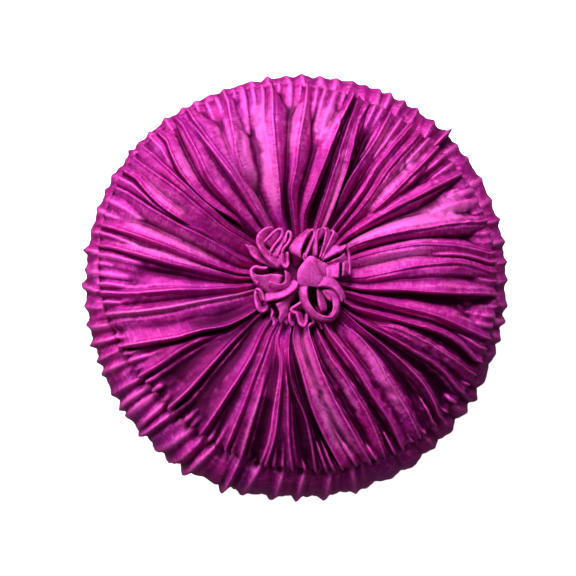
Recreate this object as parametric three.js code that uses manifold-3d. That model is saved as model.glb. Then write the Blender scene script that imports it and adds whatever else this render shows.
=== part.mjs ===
// A round throw pillow lying on its back: one filled cushion, whose velvet face and side band are
// gathered into folds, and a ruffled rosette sewn into the dimple in the middle of the face.
// Millimetres, +Z up. The origin is the middle of the underside, and +Y is the top of the photo.
import * as THREE from "three";
import { mergeVertices } from "three/addons/utils/BufferGeometryUtils.js";
import { ParametricGeometry } from "three/addons/geometries/ParametricGeometry.js";
import Module from "manifold-3d";

// Driving dimensions of the cushion, in mm and degrees.
const SEAM_RADIUS = 181; // the front seam, as a mean
const SEAM_OVAL = 5; // how much further the seam reaches towards SEAM_OVAL_AT and away from it
const SEAM_OVAL_AT = 135;
const HUB = new THREE.Vector2(1.5, -3); // the face's folds run to this point
const HUB_HEIGHT = 80;
const REST = 5; // a fold this high lies on the cushion's mean surface
const BAND_FOLD_HEIGHT = 8;
const BAND_FOLD_WIDTH = 4.5;
const BAND_LEAN = 5; // how far a fold of the band turns round the axis between its two seams
const PLEAT_DEPTH = 2.5; // the grooves between the pleats of the back
const CREST_ROUND = 1.2; // the radius that the cloth bends to over a fold

// Driving dimensions of the rosette.
const STRIP_WIDTH = 38; // the doubled strip, from its gathered edge to its fold
const STRIP_THICK = 2.6;
const ROOT_HEIGHT = 77; // the strip's gathered edge
const LOWEST_EDGE = 103; // the loops rest on the folds round the dimple
const CHART_STEP = 0.9; // one step of the rosette's charts

// The gathered core that the loops come out of, standing 0.3 above the floor of the dimple.
const CORE = [
  { radius: 0, height: 72.3 },
  { radius: 15, height: 72.3 },
  { radius: 25, height: 81 },
  { radius: 26, height: 92 },
  { radius: 18, height: 97 },
  { radius: 0, height: 97 },
];
const CORE_SIDES = 24;

const VELVET = { color: 0xa3157c, roughness: 0.42, metalness: 0.35 };

// The charts of the folds and the rosette were drawn looking down on the face from a little in
// front of it and to its left, so a point is charted where it is seen from there.
const SIGHT_TILT = THREE.MathUtils.degToRad(14);
const SIGHT_TURN = THREE.MathUtils.degToRad(22);
const SIGHT = new THREE.Vector3(
  -Math.sin(SIGHT_TILT) * Math.sin(SIGHT_TURN),
  -Math.sin(SIGHT_TILT) * Math.cos(SIGHT_TURN),
  Math.cos(SIGHT_TILT),
);
const SIGHT_RIGHT = new THREE.Vector3(0, 1, 0).cross(SIGHT).normalize();
const SIGHT_UP = SIGHT.clone().cross(SIGHT_RIGHT);

function seen(point) {
  return new THREE.Vector2(point.dot(SIGHT_RIGHT), point.dot(SIGHT_UP));
}

const POLE = seen(new THREE.Vector3(HUB.x, HUB.y, HUB_HEIGHT));

// The angle and distance at which a point is seen from the pole of the charts.
function charted(point) {
  const at = seen(point).sub(POLE);
  return { angle: THREE.MathUtils.radToDeg(at.angle()), reach: at.length() };
}

// The point of the given height that is seen at a place in the charts.
function unseen(place, height) {
  const x = (place.x + POLE.x - SIGHT_RIGHT.z * height) / SIGHT_RIGHT.x;
  const y = (place.y + POLE.y - SIGHT_UP.x * x - SIGHT_UP.z * height) / SIGHT_UP.y;
  return new THREE.Vector3(x, y, height);
}

// The folds of the face that run far in from the seam, in order round the face. The first six
// columns are a fold's angle where it crosses the circles of REACHES, from the rosette out, then
// come its height and width in mm, and the reach at which it rises out of its neighbours.
const REACHES = [57, 80, 98, 119, 144, 174];
const FOLDS = [
  { at: [18.5, 17.6, 16.4, 14.3, 11.2, 7], height: 8, width: 5, from: 0 },
  { at: [31.6, 27.5, 25, 22.2, 19.9, 17.3], height: 12, width: 6, from: 0 },
  { at: [42.5, 39.7, 37.9, 36.2, 34.6, 33.2], height: 9, width: 5, from: 0 },
  { at: [46, 43.5, 42.7, 42.7, 43, 43.7], height: 7, width: 5, from: 85 },
  { at: [49.6, 49.6, 50.2, 51, 51.2, 50.8], height: 8, width: 4, from: 0 },
  { at: [54.5, 54.2, 54.1, 54.8, 54.6, 53.5], height: 9, width: 4, from: 0 },
  { at: [61, 62.5, 63, 62, 61, 61], height: 9, width: 6, from: 70 },
  { at: [65.8, 66.1, 67, 68.4, 69.8, 69.1], height: 10, width: 4, from: 0 },
  { at: [71.5, 71.8, 72, 72, 71.9, 71.8], height: 8, width: 4, from: 0 },
  { at: [88.4, 82.5, 80, 77.8, 76.1, 74.2], height: 12, width: 5, from: 0 },
  { at: [95.2, 95.8, 92.4, 90.5, 89, 87.8], height: 11, width: 5, from: 0 },
  { at: [109, 104.8, 103, 101.4, 100.5, 98.9], height: 12, width: 6, from: 0 },
  { at: [119, 119.5, 119.5, 118, 114.8, 112.5], height: 8, width: 6, from: 95 },
  { at: [123.5, 122.3, 121.9, 122.3, 123, 123.8], height: 9, width: 4, from: 0 },
  { at: [133, 133, 133.2, 132.5, 129.5, 127.7], height: 9, width: 5, from: 0 },
  { at: [137.5, 137.8, 140, 140, 138.3, 134], height: 8, width: 4, from: 70 },
  { at: [143.7, 144.4, 143, 142.1, 141.6, 140.5], height: 10, width: 5, from: 0 },
  { at: [147.5, 148, 146.5, 145.6, 145, 144.5], height: 7, width: 4, from: 0 },
  { at: [153, 153, 153.5, 153.5, 151.9, 148.5], height: 8, width: 5, from: 110 },
  { at: [164.8, 159.8, 158.2, 157, 156, 154.3], height: 10, width: 6, from: 0 },
  { at: [175, 171.2, 168.7, 166.6, 165.7, 164.8], height: 11, width: 6, from: 0 },
  { at: [179.5, 176.5, 174.6, 172.9, 171.5, 170.6], height: 10, width: 5, from: 0 },
  { at: [190, 188, 187, 186.2, 185.8, 184.6], height: 10, width: 5, from: 0 },
  { at: [195.9, 194.5, 193.4, 192.9, 192.3, 190.8], height: 12, width: 7, from: 0 },
  { at: [215, 212, 208, 205.7, 202.5, 200.5], height: 12, width: 6, from: 0 },
  { at: [218.5, 216, 212.5, 211.2, 211.2, 211.4], height: 8, width: 6, from: 95 },
  { at: [221.5, 222.5, 223.5, 224.2, 224.7, 224.4], height: 11, width: 5, from: 0 },
  { at: [233.5, 237, 237.7, 237.7, 237.6, 236.8], height: 12, width: 5, from: 0 },
  { at: [240.9, 243.6, 244.3, 245.2, 246, 246.4], height: 11, width: 5, from: 0 },
  { at: [246, 249.5, 250.2, 250.7, 251, 251.7], height: 9, width: 6, from: 100 },
  { at: [250.5, 257.5, 259, 259.7, 260.3, 258.7], height: 10, width: 5, from: 65 },
  { at: [254, 259.5, 262.6, 264, 265.6, 267.5], height: 8, width: 5, from: 85 },
  { at: [258, 261.5, 265.5, 270.5, 273, 274.4], height: 11, width: 5, from: 0 },
  { at: [264, 270, 273.1, 276, 279, 282.8], height: 12, width: 5, from: 0 },
  { at: [277, 280.5, 283, 285.5, 288, 290.2], height: 12, width: 8, from: 0 },
  { at: [287, 290, 293.5, 295, 295.6, 295], height: 8, width: 6, from: 0 },
  { at: [296.7, 299.6, 301, 301.4, 301.7, 301], height: 12, width: 6, from: 0 },
  { at: [313, 313.5, 312.7, 310, 308.5, 306.5], height: 7, width: 5, from: 60 },
  { at: [319, 319.5, 319.9, 319.6, 318.4, 314.7], height: 10, width: 5, from: 0 },
  { at: [323.4, 325, 326.4, 327, 327.3, 324.8], height: 11, width: 6, from: 0 },
  { at: [327, 330, 332, 332.5, 332, 330.6], height: 8, width: 6, from: 85 },
  { at: [330.3, 335.2, 337, 338.3, 338.7, 335], height: 11, width: 5, from: 0 },
  { at: [342, 343.5, 344.1, 344.4, 343.6, 342.1], height: 10, width: 8, from: 0 },
  { at: [350.1, 352.5, 353.4, 354, 354.7, 355.4], height: 12, width: 6, from: 0 },
  { at: [360, 363.6, 365, 365.8, 365.5, 361.5], height: 8, width: 5, from: 0 },
];

// Short folds that only gather the rim, with the reach at which each one ends.
const RIM_FOLDS = [
  { angle: 28, height: 6, width: 4, from: 135 },
  { angle: 38.5, height: 6, width: 4, from: 115 },
  { angle: 48, height: 6, width: 3, from: 150 },
  { angle: 82, height: 6, width: 3, from: 150 },
  { angle: 161, height: 6, width: 4, from: 155 },
  { angle: 181.5, height: 5, width: 4, from: 155 },
  { angle: 197, height: 6, width: 4, from: 145 },
  { angle: 206.5, height: 7, width: 4, from: 140 },
  { angle: 216, height: 7, width: 4, from: 140 },
  { angle: 220, height: 6, width: 4, from: 150 },
  { angle: 231, height: 6, width: 4, from: 155 },
  { angle: 242, height: 6, width: 3, from: 140 },
  { angle: 279, height: 6, width: 4, from: 155 },
  { angle: 347.5, height: 6, width: 4, from: 150 },
];

// The tops of the band's folds, as seen round the outline.
const BAND_FOLDS = [
  4, 10, 16.5, 22, 29, 35.5, 40.5, 45.5, 49, 54.5, 59.5, 64, 67.5, 71.5, 75.5, 79.5, 84, 89.5, 94, 99,
  104.5, 112.5, 117, 121, 125, 130, 136, 139.5, 143, 151.5, 156.5, 162, 167, 173, 178, 183, 188.5,
  193.5, 198, 202.5, 206, 212, 216, 219, 223, 226, 232.5, 237, 242, 251, 257, 264, 271, 278, 285, 294,
  301, 308, 314, 320.5, 325.5, 330, 338.5, 343, 348, 353, 359,
];

// Rows of the cushion from the dimple over the crown and the band to the middle of the back.
// radius is a share of the seam's, height is in mm, fold says how much of the folds' height the row
// takes, and on says which folds these are.
const ROWS = [
  { radius: 0, height: 72, fold: 0, on: "face" },
  { radius: 0.095, height: 72, fold: 0, on: "face" },
  { radius: 0.13, height: 75, fold: 0.2, on: "face" },
  { radius: 0.18, height: 81, fold: 0.6, on: "face" },
  { radius: 0.25, height: 89, fold: 0.9, on: "face" },
  { radius: 0.33, height: 96, fold: 1, on: "face" },
  { radius: 0.42, height: 101.5, fold: 1, on: "face" },
  { radius: 0.52, height: 105, fold: 1, on: "face" },
  { radius: 0.62, height: 106.5, fold: 1, on: "face" },
  { radius: 0.72, height: 105.5, fold: 1, on: "face" },
  { radius: 0.81, height: 102.5, fold: 1, on: "face" },
  { radius: 0.89, height: 98.5, fold: 1, on: "face" },
  { radius: 0.955, height: 94, fold: 0.9, on: "face" },
  { radius: 1, height: 90, fold: 0.6, on: "face" },
  { radius: 0.985, height: 86.5, fold: 0, on: "face" },
  { radius: 1.03, height: 81, fold: 0.5, on: "band" },
  { radius: 1.07, height: 69, fold: 1, on: "band" },
  { radius: 1.09, height: 52, fold: 1, on: "band" },
  { radius: 1.085, height: 34, fold: 1, on: "band" },
  { radius: 1.05, height: 18, fold: 0.7, on: "band" },
  { radius: 1, height: 9, fold: 0, on: "band" },
  { radius: 0.97, height: 3.5, fold: 0.5, on: "back" },
  { radius: 0.89, height: 0, fold: 1, on: "back" },
  { radius: 0.6, height: 0, fold: 1, on: "back" },
  { radius: 0.34, height: 0, fold: 0.6, on: "back" },
  { radius: 0.15, height: 3.5, fold: 0, on: "back" },
  { radius: 0, height: 6, fold: 0, on: "back" },
];
const BAND_START = ROWS.findIndex((row) => row.on === "band");
const BAND_ROWS = ROWS.filter((row) => row.on === "band").length;
const COLUMNS_PER_FOLD = 5;
const COLUMNS = FOLDS.length * COLUMNS_PER_FOLD;

// Where a loop of the strip comes out of the rosette, and its folded edge, in steps of the chart from
// the pole of the charts. A cup is a closed loop of the strip, a lip is an open one, and rise lifts
// its edge in mm. The list goes round from the upper left by the right.
const LOOPS = [
  {
    kind: "cup", root: [-19, 13], rise: 0,
    edge: [[-41, 22], [-45, 33], [-45, 42], [-37, 48], [-28, 50], [-31, 43], [-38, 34]],
  },
  {
    kind: "cup", root: [-17, 13], rise: 2,
    edge: [[-36, 33], [-29, 43], [-22, 49], [-18, 47], [-20, 41], [-26, 31], [-31, 25]],
  },
  {
    kind: "cup", root: [-12, 14], rise: 3,
    edge: [[-20, 30], [-16, 38], [-15, 43], [-12, 45], [-10, 40], [-14, 32], [-18, 25]],
  },
  {
    kind: "cup", root: [-9, 9], rise: 2,
    edge: [[-12, 24], [-10, 18], [-7, 11], [-11, 8], [-15, 13], [-18, 20]],
  },
  {
    kind: "lip", root: [-18, 10], rise: -2,
    edge: [[-53, 30], [-49, 22], [-43, 15], [-33, 11], [-23, 9]],
  },
  {
    kind: "cup", root: [5, 14], rise: 1,
    edge: [[-12, 29], [-3, 38], [6, 45], [12, 46], [13, 40], [8, 31], [1, 24]],
  },
  {
    kind: "cup", root: [12, 14], rise: 1,
    edge: [[9, 22], [13, 33], [16, 43], [22, 49], [26, 45], [22, 35], [17, 24]],
  },
  {
    kind: "cup", root: [14, 14], rise: 0,
    edge: [[28, 46], [35, 43], [33, 36], [22, 24], [20, 28]],
  },
  {
    kind: "cup", root: [15, 12], rise: 1,
    edge: [[25, 24], [34, 33], [39, 30], [45, 30], [43, 25], [30, 19]],
  },
  {
    kind: "cup", root: [19, 6], rise: -1,
    edge: [[44, 25], [49, 28], [50, 19], [49, 9], [48, 1], [42, 2], [43, 14]],
  },
  {
    kind: "cup", root: [17, 7], rise: 2,
    edge: [[24, 14], [38, 14], [38, 2], [34, 0], [27, 5]],
  },
  {
    kind: "cup", root: [8, 0], rise: 6,
    edge: [[-3, 3], [8, 15], [15, 12], [20, -2], [17, -9], [1, -8]],
  },
  {
    kind: "cup", root: [15, -14], rise: 1,
    edge: [[0, -11], [1, -22], [6, -34], [16, -41], [26, -42], [34, -36], [35, -26], [30, -14], [17, -10]],
  },
  {
    kind: "lip", root: [14, -6], rise: 0,
    edge: [[20, -3], [30, -4], [37, -10], [42, -20], [41, -30]],
  },
  {
    kind: "lip", root: [-15, 2], rise: 0,
    edge: [[-40, 14], [-49, 11], [-50, 2], [-44, -7], [-35, -11]],
  },
  {
    kind: "cup", root: [-12, -1], rise: 2,
    edge: [[-43, 1], [-30, 4], [-18, 5], [-17, -3], [-25, -7], [-36, -5]],
  },
  {
    kind: "lip", root: [-10, -2], rise: 3,
    edge: [[-5, -5], [-12, -15], [-23, -19], [-31, -24], [-38, -21], [-43, -12]],
  },
  {
    kind: "cup", root: [-16, -10], rise: -1,
    edge: [[-45, -13], [-47, -24], [-43, -35], [-35, -34], [-32, -25], [-37, -17]],
  },
  {
    kind: "lip", root: [-7, -12], rise: 0,
    edge: [[-3, -17], [-15, -23], [-25, -28], [-21, -38], [-22, -47]],
  },
  {
    kind: "lip", root: [-3, -14], rise: 0,
    edge: [[-2, -25], [-10, -33], [-5, -39], [1, -49], [6, -44], [6, -36]],
  },
  {
    kind: "lip", root: [5, -18], rise: -1,
    edge: [[9, -38], [13, -45], [21, -50], [22, -46], [20, -41]],
  },
];

const foldCourses = new THREE.CubicInterpolant(
  REACHES,
  REACHES.flatMap((_, ring) => FOLDS.map((fold) => fold.at[ring])),
  FOLDS.length,
);

// The angles of all long folds at a reach.
function foldAngles(reach) {
  const within = THREE.MathUtils.clamp(reach, REACHES[0], REACHES.at(-1));
  return foldCourses.evaluate(within);
}

function turnBetween(angle, other) {
  return THREE.MathUtils.euclideanModulo(angle - other + 180, 360) - 180;
}

// Cloth drawn taut over a rounded crest falls away steeply beside it, then ever more gently.
function crest(distance, width) {
  const rounded = Math.hypot(distance, CREST_ROUND) - CREST_ROUND;
  return Math.exp(-rounded / width);
}

// The height of the face's folds at a place in the chart. Where folds meet, the higher one leads.
function faceFolds({ angle, reach }) {
  const narrowing = (reach / REACHES.at(-1)) ** 0.6;
  const angles = foldAngles(reach);
  let squares = 0;
  const add = (fold, foldAngle) => {
    const distance = THREE.MathUtils.degToRad(turnBetween(angle, foldAngle)) * reach;
    const shown = THREE.MathUtils.smoothstep(reach, fold.from - 15, fold.from + 15);
    squares += (fold.height * shown * crest(distance, fold.width * narrowing)) ** 2;
  };
  FOLDS.forEach((fold, i) => add(fold, angles[i]));
  RIM_FOLDS.forEach((fold) => add(fold, fold.angle));
  return Math.sqrt(squares) - REST;
}

// The height of the band's folds, with down running from 0 at the front seam to 1 at the back one.
function bandFolds({ angle, reach }, down) {
  let squares = 0;
  for (const top of BAND_FOLDS) {
    const turn = turnBetween(angle, top + BAND_LEAN * (down - 0.5));
    const height = BAND_FOLD_HEIGHT * crest(THREE.MathUtils.degToRad(turn) * reach, BAND_FOLD_WIDTH);
    squares += height ** 2;
  }
  return Math.sqrt(squares) - REST;
}

// A row's point without its folds. The rows of the face close in on the hub, not on the axis.
function meanPoint(turn, row) {
  const oval = SEAM_OVAL * Math.cos(2 * (turn - THREE.MathUtils.degToRad(SEAM_OVAL_AT)));
  const radius = (SEAM_RADIUS + oval) * row.radius;
  const inward = row.on === "face" ? (1 - Math.min(row.radius, 1)) ** 2 : 0;
  return new THREE.Vector3(
    HUB.x * inward + radius * Math.cos(turn),
    HUB.y * inward + radius * Math.sin(turn),
    row.height,
  );
}

// The turn round the axis at which a column crosses a row. On the face each column keeps its share
// of the way between two folds, so that the crests are lines of the mesh. Past the face it goes on
// at the turn it has at the seam.
function columnTurn(column, row) {
  const fold = Math.floor(column / COLUMNS_PER_FOLD) % FOLDS.length;
  const share = (column % COLUMNS_PER_FOLD) / COLUMNS_PER_FOLD;
  const followed = row.on === "face" ? row : ROWS[BAND_START - 1];
  let turn = THREE.MathUtils.degToRad(FOLDS[fold].at.at(-1));
  for (let pass = 0; pass < 5; pass++) {
    const place = charted(meanPoint(turn, followed));
    const angles = foldAngles(place.reach);
    const here = angles[fold];
    const next = (fold + 1) % FOLDS.length;
    const step = turnBetween(angles[next], here);
    turn += THREE.MathUtils.degToRad(turnBetween(here + step * share, place.angle));
  }
  return turn;
}

// The way that the folds of a row stand out: square to the line through the rows beside it.
function outward(index) {
  const before = ROWS[Math.max(index - 1, 0)];
  const after = ROWS[Math.min(index + 1, ROWS.length - 1)];
  const across = (after.radius - before.radius) * SEAM_RADIUS;
  const down = before.height - after.height;
  return new THREE.Vector2(down, across).normalize();
}

function cushionPoint(column, index) {
  const row = ROWS[index];
  const turn = row.radius === 0 ? 0 : columnTurn(column, row);
  const point = meanPoint(turn, row);
  if (row.on === "back") {
    const inGroove = column % COLUMNS_PER_FOLD === 2 || column % COLUMNS_PER_FOLD === 3;
    point.z += inGroove ? PLEAT_DEPTH * row.fold : 0;
    return point;
  }
  const place = charted(point);
  const down = (index - BAND_START) / (BAND_ROWS - 1);
  const height = row.fold * (row.on === "face" ? faceFolds(place) : bandFolds(place, down));
  const way = outward(index);
  point.x += way.x * height * Math.cos(turn);
  point.y += way.x * height * Math.sin(turn);
  point.z += way.y * height;
  return point;
}

// A turned body whose points are then moved to where the gathered cloth lies.
function cushionGeometry() {
  const profile = ROWS.map((row) => new THREE.Vector2(row.radius * SEAM_RADIUS, row.height));
  const geometry = new THREE.LatheGeometry(profile, COLUMNS);
  const position = geometry.getAttribute("position");
  for (let i = 0; i < position.count; i++) {
    const column = Math.floor(i / ROWS.length) % COLUMNS;
    position.setXYZ(i, ...cushionPoint(column, i % ROWS.length));
  }
  return geometry;
}

// The folded edge of a loop, in the part's frame. The strip is as wide everywhere, so its edge
// stands high over its root and sinks to the folds of the face as it reaches out.
function edgeCurve(loop, closed) {
  const points = loop.edge.map(([x, y]) => {
    const out = Math.hypot(x - loop.root[0], y - loop.root[1]) * CHART_STEP;
    const stood = ROOT_HEIGHT + Math.sqrt(Math.max(STRIP_WIDTH ** 2 - out ** 2, 0)) + loop.rise;
    const place = new THREE.Vector2(x, y).multiplyScalar(CHART_STEP);
    return unseen(place, Math.max(stood, LOWEST_EDGE));
  });
  // A closed edge runs anticlockwise, so that sideways points out of the loop.
  if (closed && THREE.ShapeUtils.isClockWise(points)) points.reverse();
  return new THREE.CatmullRomCurve3(points, closed);
}

function rootPoint(loop) {
  return unseen(new THREE.Vector2(...loop.root).multiplyScalar(CHART_STEP), ROOT_HEIGHT);
}

// A point of the strip between its root and its edge: it rises first and then flares out.
function flare(root, edge, share) {
  const out = share ** 1.5;
  const up = share ** 0.75;
  return new THREE.Vector3(
    THREE.MathUtils.lerp(root.x, edge.x, out),
    THREE.MathUtils.lerp(root.y, edge.y, out),
    THREE.MathUtils.lerp(root.z, edge.z, up),
  );
}

function sideways(curve, along) {
  const tangent = curve.getTangent(along);
  return new THREE.Vector3(tangent.y, -tangent.x, 0).normalize();
}

// Sections of a loop, from its inside over the folded edge to its outside. share goes from root to
// edge, side from the inner to the outer face of the strip, and open is how wide the hollow is.
const CUP_SECTION = [
  { share: 0.55, side: 0, open: 0 },
  { share: 0.65, side: -0.5, open: 0.5 },
  { share: 0.92, side: -0.9, open: 0.9 },
  { share: 1, side: -0.4, open: 1 },
  { share: 1, side: 0.4, open: 1 },
  { share: 0.92, side: 0.9, open: 0.95 },
  { share: 0.6, side: 0.8, open: 0.7 },
  { share: 0.3, side: 0.6, open: 0.45 },
  { share: 0, side: 0, open: 0 },
];
const LIP_SECTION = [
  { share: 0, side: -0.8 },
  { share: 0.45, side: -1 },
  { share: 0.9, side: -1 },
  { share: 1, side: 0 },
  { share: 0.9, side: 1 },
  { share: 0.45, side: 1 },
  { share: 0, side: 0.8 },
  { share: 0, side: -0.8 },
];
const CUP_STATIONS = 14;

function cupGeometry(loop) {
  const curve = edgeCurve(loop, true);
  const root = rootPoint(loop);
  const middle = new THREE.Vector3();
  curve.points.forEach((point) => middle.addScaledVector(point, 1 / curve.points.length));
  const make = (u, v, target) => {
    const section = CUP_SECTION[Math.round(v * (CUP_SECTION.length - 1))];
    const centre = flare(root, middle, section.share);
    const spread = curve.getPoint(u % 1).sub(middle).multiplyScalar(section.open);
    const offset = sideways(curve, u % 1).multiplyScalar((section.side * STRIP_THICK) / 2);
    target.copy(centre).add(spread).addScaledVector(offset, Math.sign(section.open));
  };
  return new ParametricGeometry(make, CUP_STATIONS, CUP_SECTION.length - 1);
}

// Stations of a lip: how far along its edge each one is, and its share of the strip's thickness. The
// first and last pairs close its ends with a blunt cap.
const LIP_STATIONS = [
  { along: 0, thick: 0 },
  { along: 0, thick: 0.7 },
  { along: 0.1, thick: 1 },
  { along: 0.23, thick: 1 },
  { along: 0.37, thick: 1 },
  { along: 0.5, thick: 1 },
  { along: 0.63, thick: 1 },
  { along: 0.77, thick: 1 },
  { along: 0.9, thick: 1 },
  { along: 1, thick: 0.7 },
  { along: 1, thick: 0 },
];

function lipGeometry(loop) {
  const curve = edgeCurve(loop, false);
  const root = rootPoint(loop);
  const make = (u, v, target) => {
    const section = LIP_SECTION[Math.round(v * (LIP_SECTION.length - 1))];
    const station = LIP_STATIONS[Math.round(u * (LIP_STATIONS.length - 1))];
    const edge = curve.getPoint(station.along);
    const foot = root.clone().lerp(edge, 0.15).setZ(root.z);
    const offset = (section.side * station.thick * STRIP_THICK) / 2;
    target.copy(flare(foot, edge, section.share));
    target.addScaledVector(sideways(curve, station.along), offset);
  };
  return new ParametricGeometry(make, LIP_STATIONS.length - 1, LIP_SECTION.length - 1);
}

function coreGeometry() {
  const profile = CORE.map((row) => new THREE.Vector2(row.radius, row.height));
  const geometry = new THREE.LatheGeometry(profile, CORE_SIDES).rotateX(Math.PI / 2);
  return geometry.translate(HUB.x, HUB.y, 0);
}

const wasm = await Module();
wasm.setup();

// A closed geometry as a solid, with its faces turned out.
function solidOf(geometry) {
  const bare = new THREE.BufferGeometry();
  bare.setAttribute("position", geometry.getAttribute("position"));
  bare.setIndex(geometry.index);
  const merged = mergeVertices(bare, 1e-3);
  const solid = new wasm.Manifold(
    new wasm.Mesh({
      numProp: 3,
      vertProperties: merged.getAttribute("position").array,
      triVerts: new Uint32Array(merged.index.array),
    }),
  );
  if (solid.volume() > 0) return solid;
  return solidOf(turnedInsideOut(merged));
}

function turnedInsideOut(geometry) {
  const turned = geometry.clone();
  turned.setIndex(Array.from(geometry.index.array).reverse());
  return turned;
}

function geometryOf(solid) {
  const mesh = solid.getMesh();
  const geometry = new THREE.BufferGeometry();
  geometry.setAttribute("position", new THREE.BufferAttribute(mesh.vertProperties, 3));
  geometry.setIndex(new THREE.BufferAttribute(mesh.triVerts, 1));
  geometry.computeVertexNormals();
  return geometry;
}

// Where loops close round a pocket, the pocket is filled.
function outerShell(solid) {
  const shells = solid.decompose();
  return shells.reduce((most, shell) => (shell.volume() > most.volume() ? shell : most));
}

function rosetteGeometry() {
  const loops = LOOPS.map((loop) => (loop.kind === "cup" ? cupGeometry(loop) : lipGeometry(loop)));
  const joined = loops.reduce((whole, loop) => whole.add(solidOf(loop)), solidOf(coreGeometry()));
  return geometryOf(outerShell(joined));
}

function namedMesh(name, geometry) {
  const mesh = new THREE.Mesh(geometry, new THREE.MeshStandardMaterial(VELVET));
  mesh.name = name;
  return mesh;
}

const pillow = new THREE.Group();
pillow.add(namedMesh("cushion", geometryOf(solidOf(cushionGeometry()))));
pillow.add(namedMesh("rosette", rosetteGeometry()));

export default pillow;
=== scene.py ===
"""A round throw pillow of magenta stretch velvet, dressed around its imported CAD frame.

The face and the side band are gathered into folds, and a rosette of one doubled strip is sewn into
the dimple in the middle of the face. Tables are in millimetres and degrees; Blender gets metres.
"""
import functools
import math

import bpy
import numpy as np
from bpy.props import FloatProperty, FloatVectorProperty, PointerProperty
from mathutils import Matrix, Vector


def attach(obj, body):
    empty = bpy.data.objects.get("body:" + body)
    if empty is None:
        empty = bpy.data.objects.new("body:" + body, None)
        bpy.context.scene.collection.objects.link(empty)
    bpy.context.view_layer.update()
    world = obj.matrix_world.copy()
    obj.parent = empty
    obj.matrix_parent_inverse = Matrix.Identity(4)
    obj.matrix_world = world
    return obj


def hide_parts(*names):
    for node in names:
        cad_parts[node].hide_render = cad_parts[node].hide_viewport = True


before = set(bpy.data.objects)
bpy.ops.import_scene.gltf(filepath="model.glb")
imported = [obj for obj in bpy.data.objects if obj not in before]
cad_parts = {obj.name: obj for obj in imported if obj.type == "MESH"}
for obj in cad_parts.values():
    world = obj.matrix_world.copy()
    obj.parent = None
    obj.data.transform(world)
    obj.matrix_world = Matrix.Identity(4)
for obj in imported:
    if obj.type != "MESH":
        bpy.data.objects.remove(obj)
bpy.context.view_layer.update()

bl_info = {
    "name": "Round throw pillow",
    "version": (1, 0, 0),
    "blender": (4, 5, 0),
    "location": "View3D > Sidebar > Pillow",
    "description": "Builds a gathered round velvet pillow with a fabric rosette",
    "category": "Object",
}

MM = 0.001
FULL_TURN = 2 * math.pi
# Each set of random draws starts from its own seed, so every run gives the same pillow.
RIM_SEED, FACE_SEED, BAND_SEED, ROUGH_SEED, ROSETTE_SEED = 17, 7, 11, 3, 5

# The cushion's driving dimensions, as in the part's own source: the front seam is an oval, wider
# by SEAM_OVAL at SEAM_OVAL_AT, and the folds run out from HUB.
SEAM_RADIUS = 181
SEAM_OVAL = 5
SEAM_OVAL_AT = 135
HUB = (1.5, -3)
HUB_HEIGHT = 80
CREST_ABOVE_MEAN = 4
# The rosette's strip is gathered at this height, and a step of its charts is this long.
ROOT_HEIGHT = 80
CHART_STEP = 0.9

# The charts of folds and loops are drawn as seen from this direction.
SIGHT_TILT = math.radians(14)
SIGHT_TURN = math.radians(22)
SIGHT = np.array([
    -math.sin(SIGHT_TILT) * math.sin(SIGHT_TURN),
    -math.sin(SIGHT_TILT) * math.cos(SIGHT_TURN),
    math.cos(SIGHT_TILT),
])
SIGHT_RIGHT = np.cross([0, 1, 0], SIGHT)
SIGHT_RIGHT /= np.linalg.norm(SIGHT_RIGHT)
SIGHT_UP = np.cross(SIGHT, SIGHT_RIGHT)
POLE = np.array([*HUB, HUB_HEIGHT]) @ np.array([SIGHT_RIGHT, SIGHT_UP]).T

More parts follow.
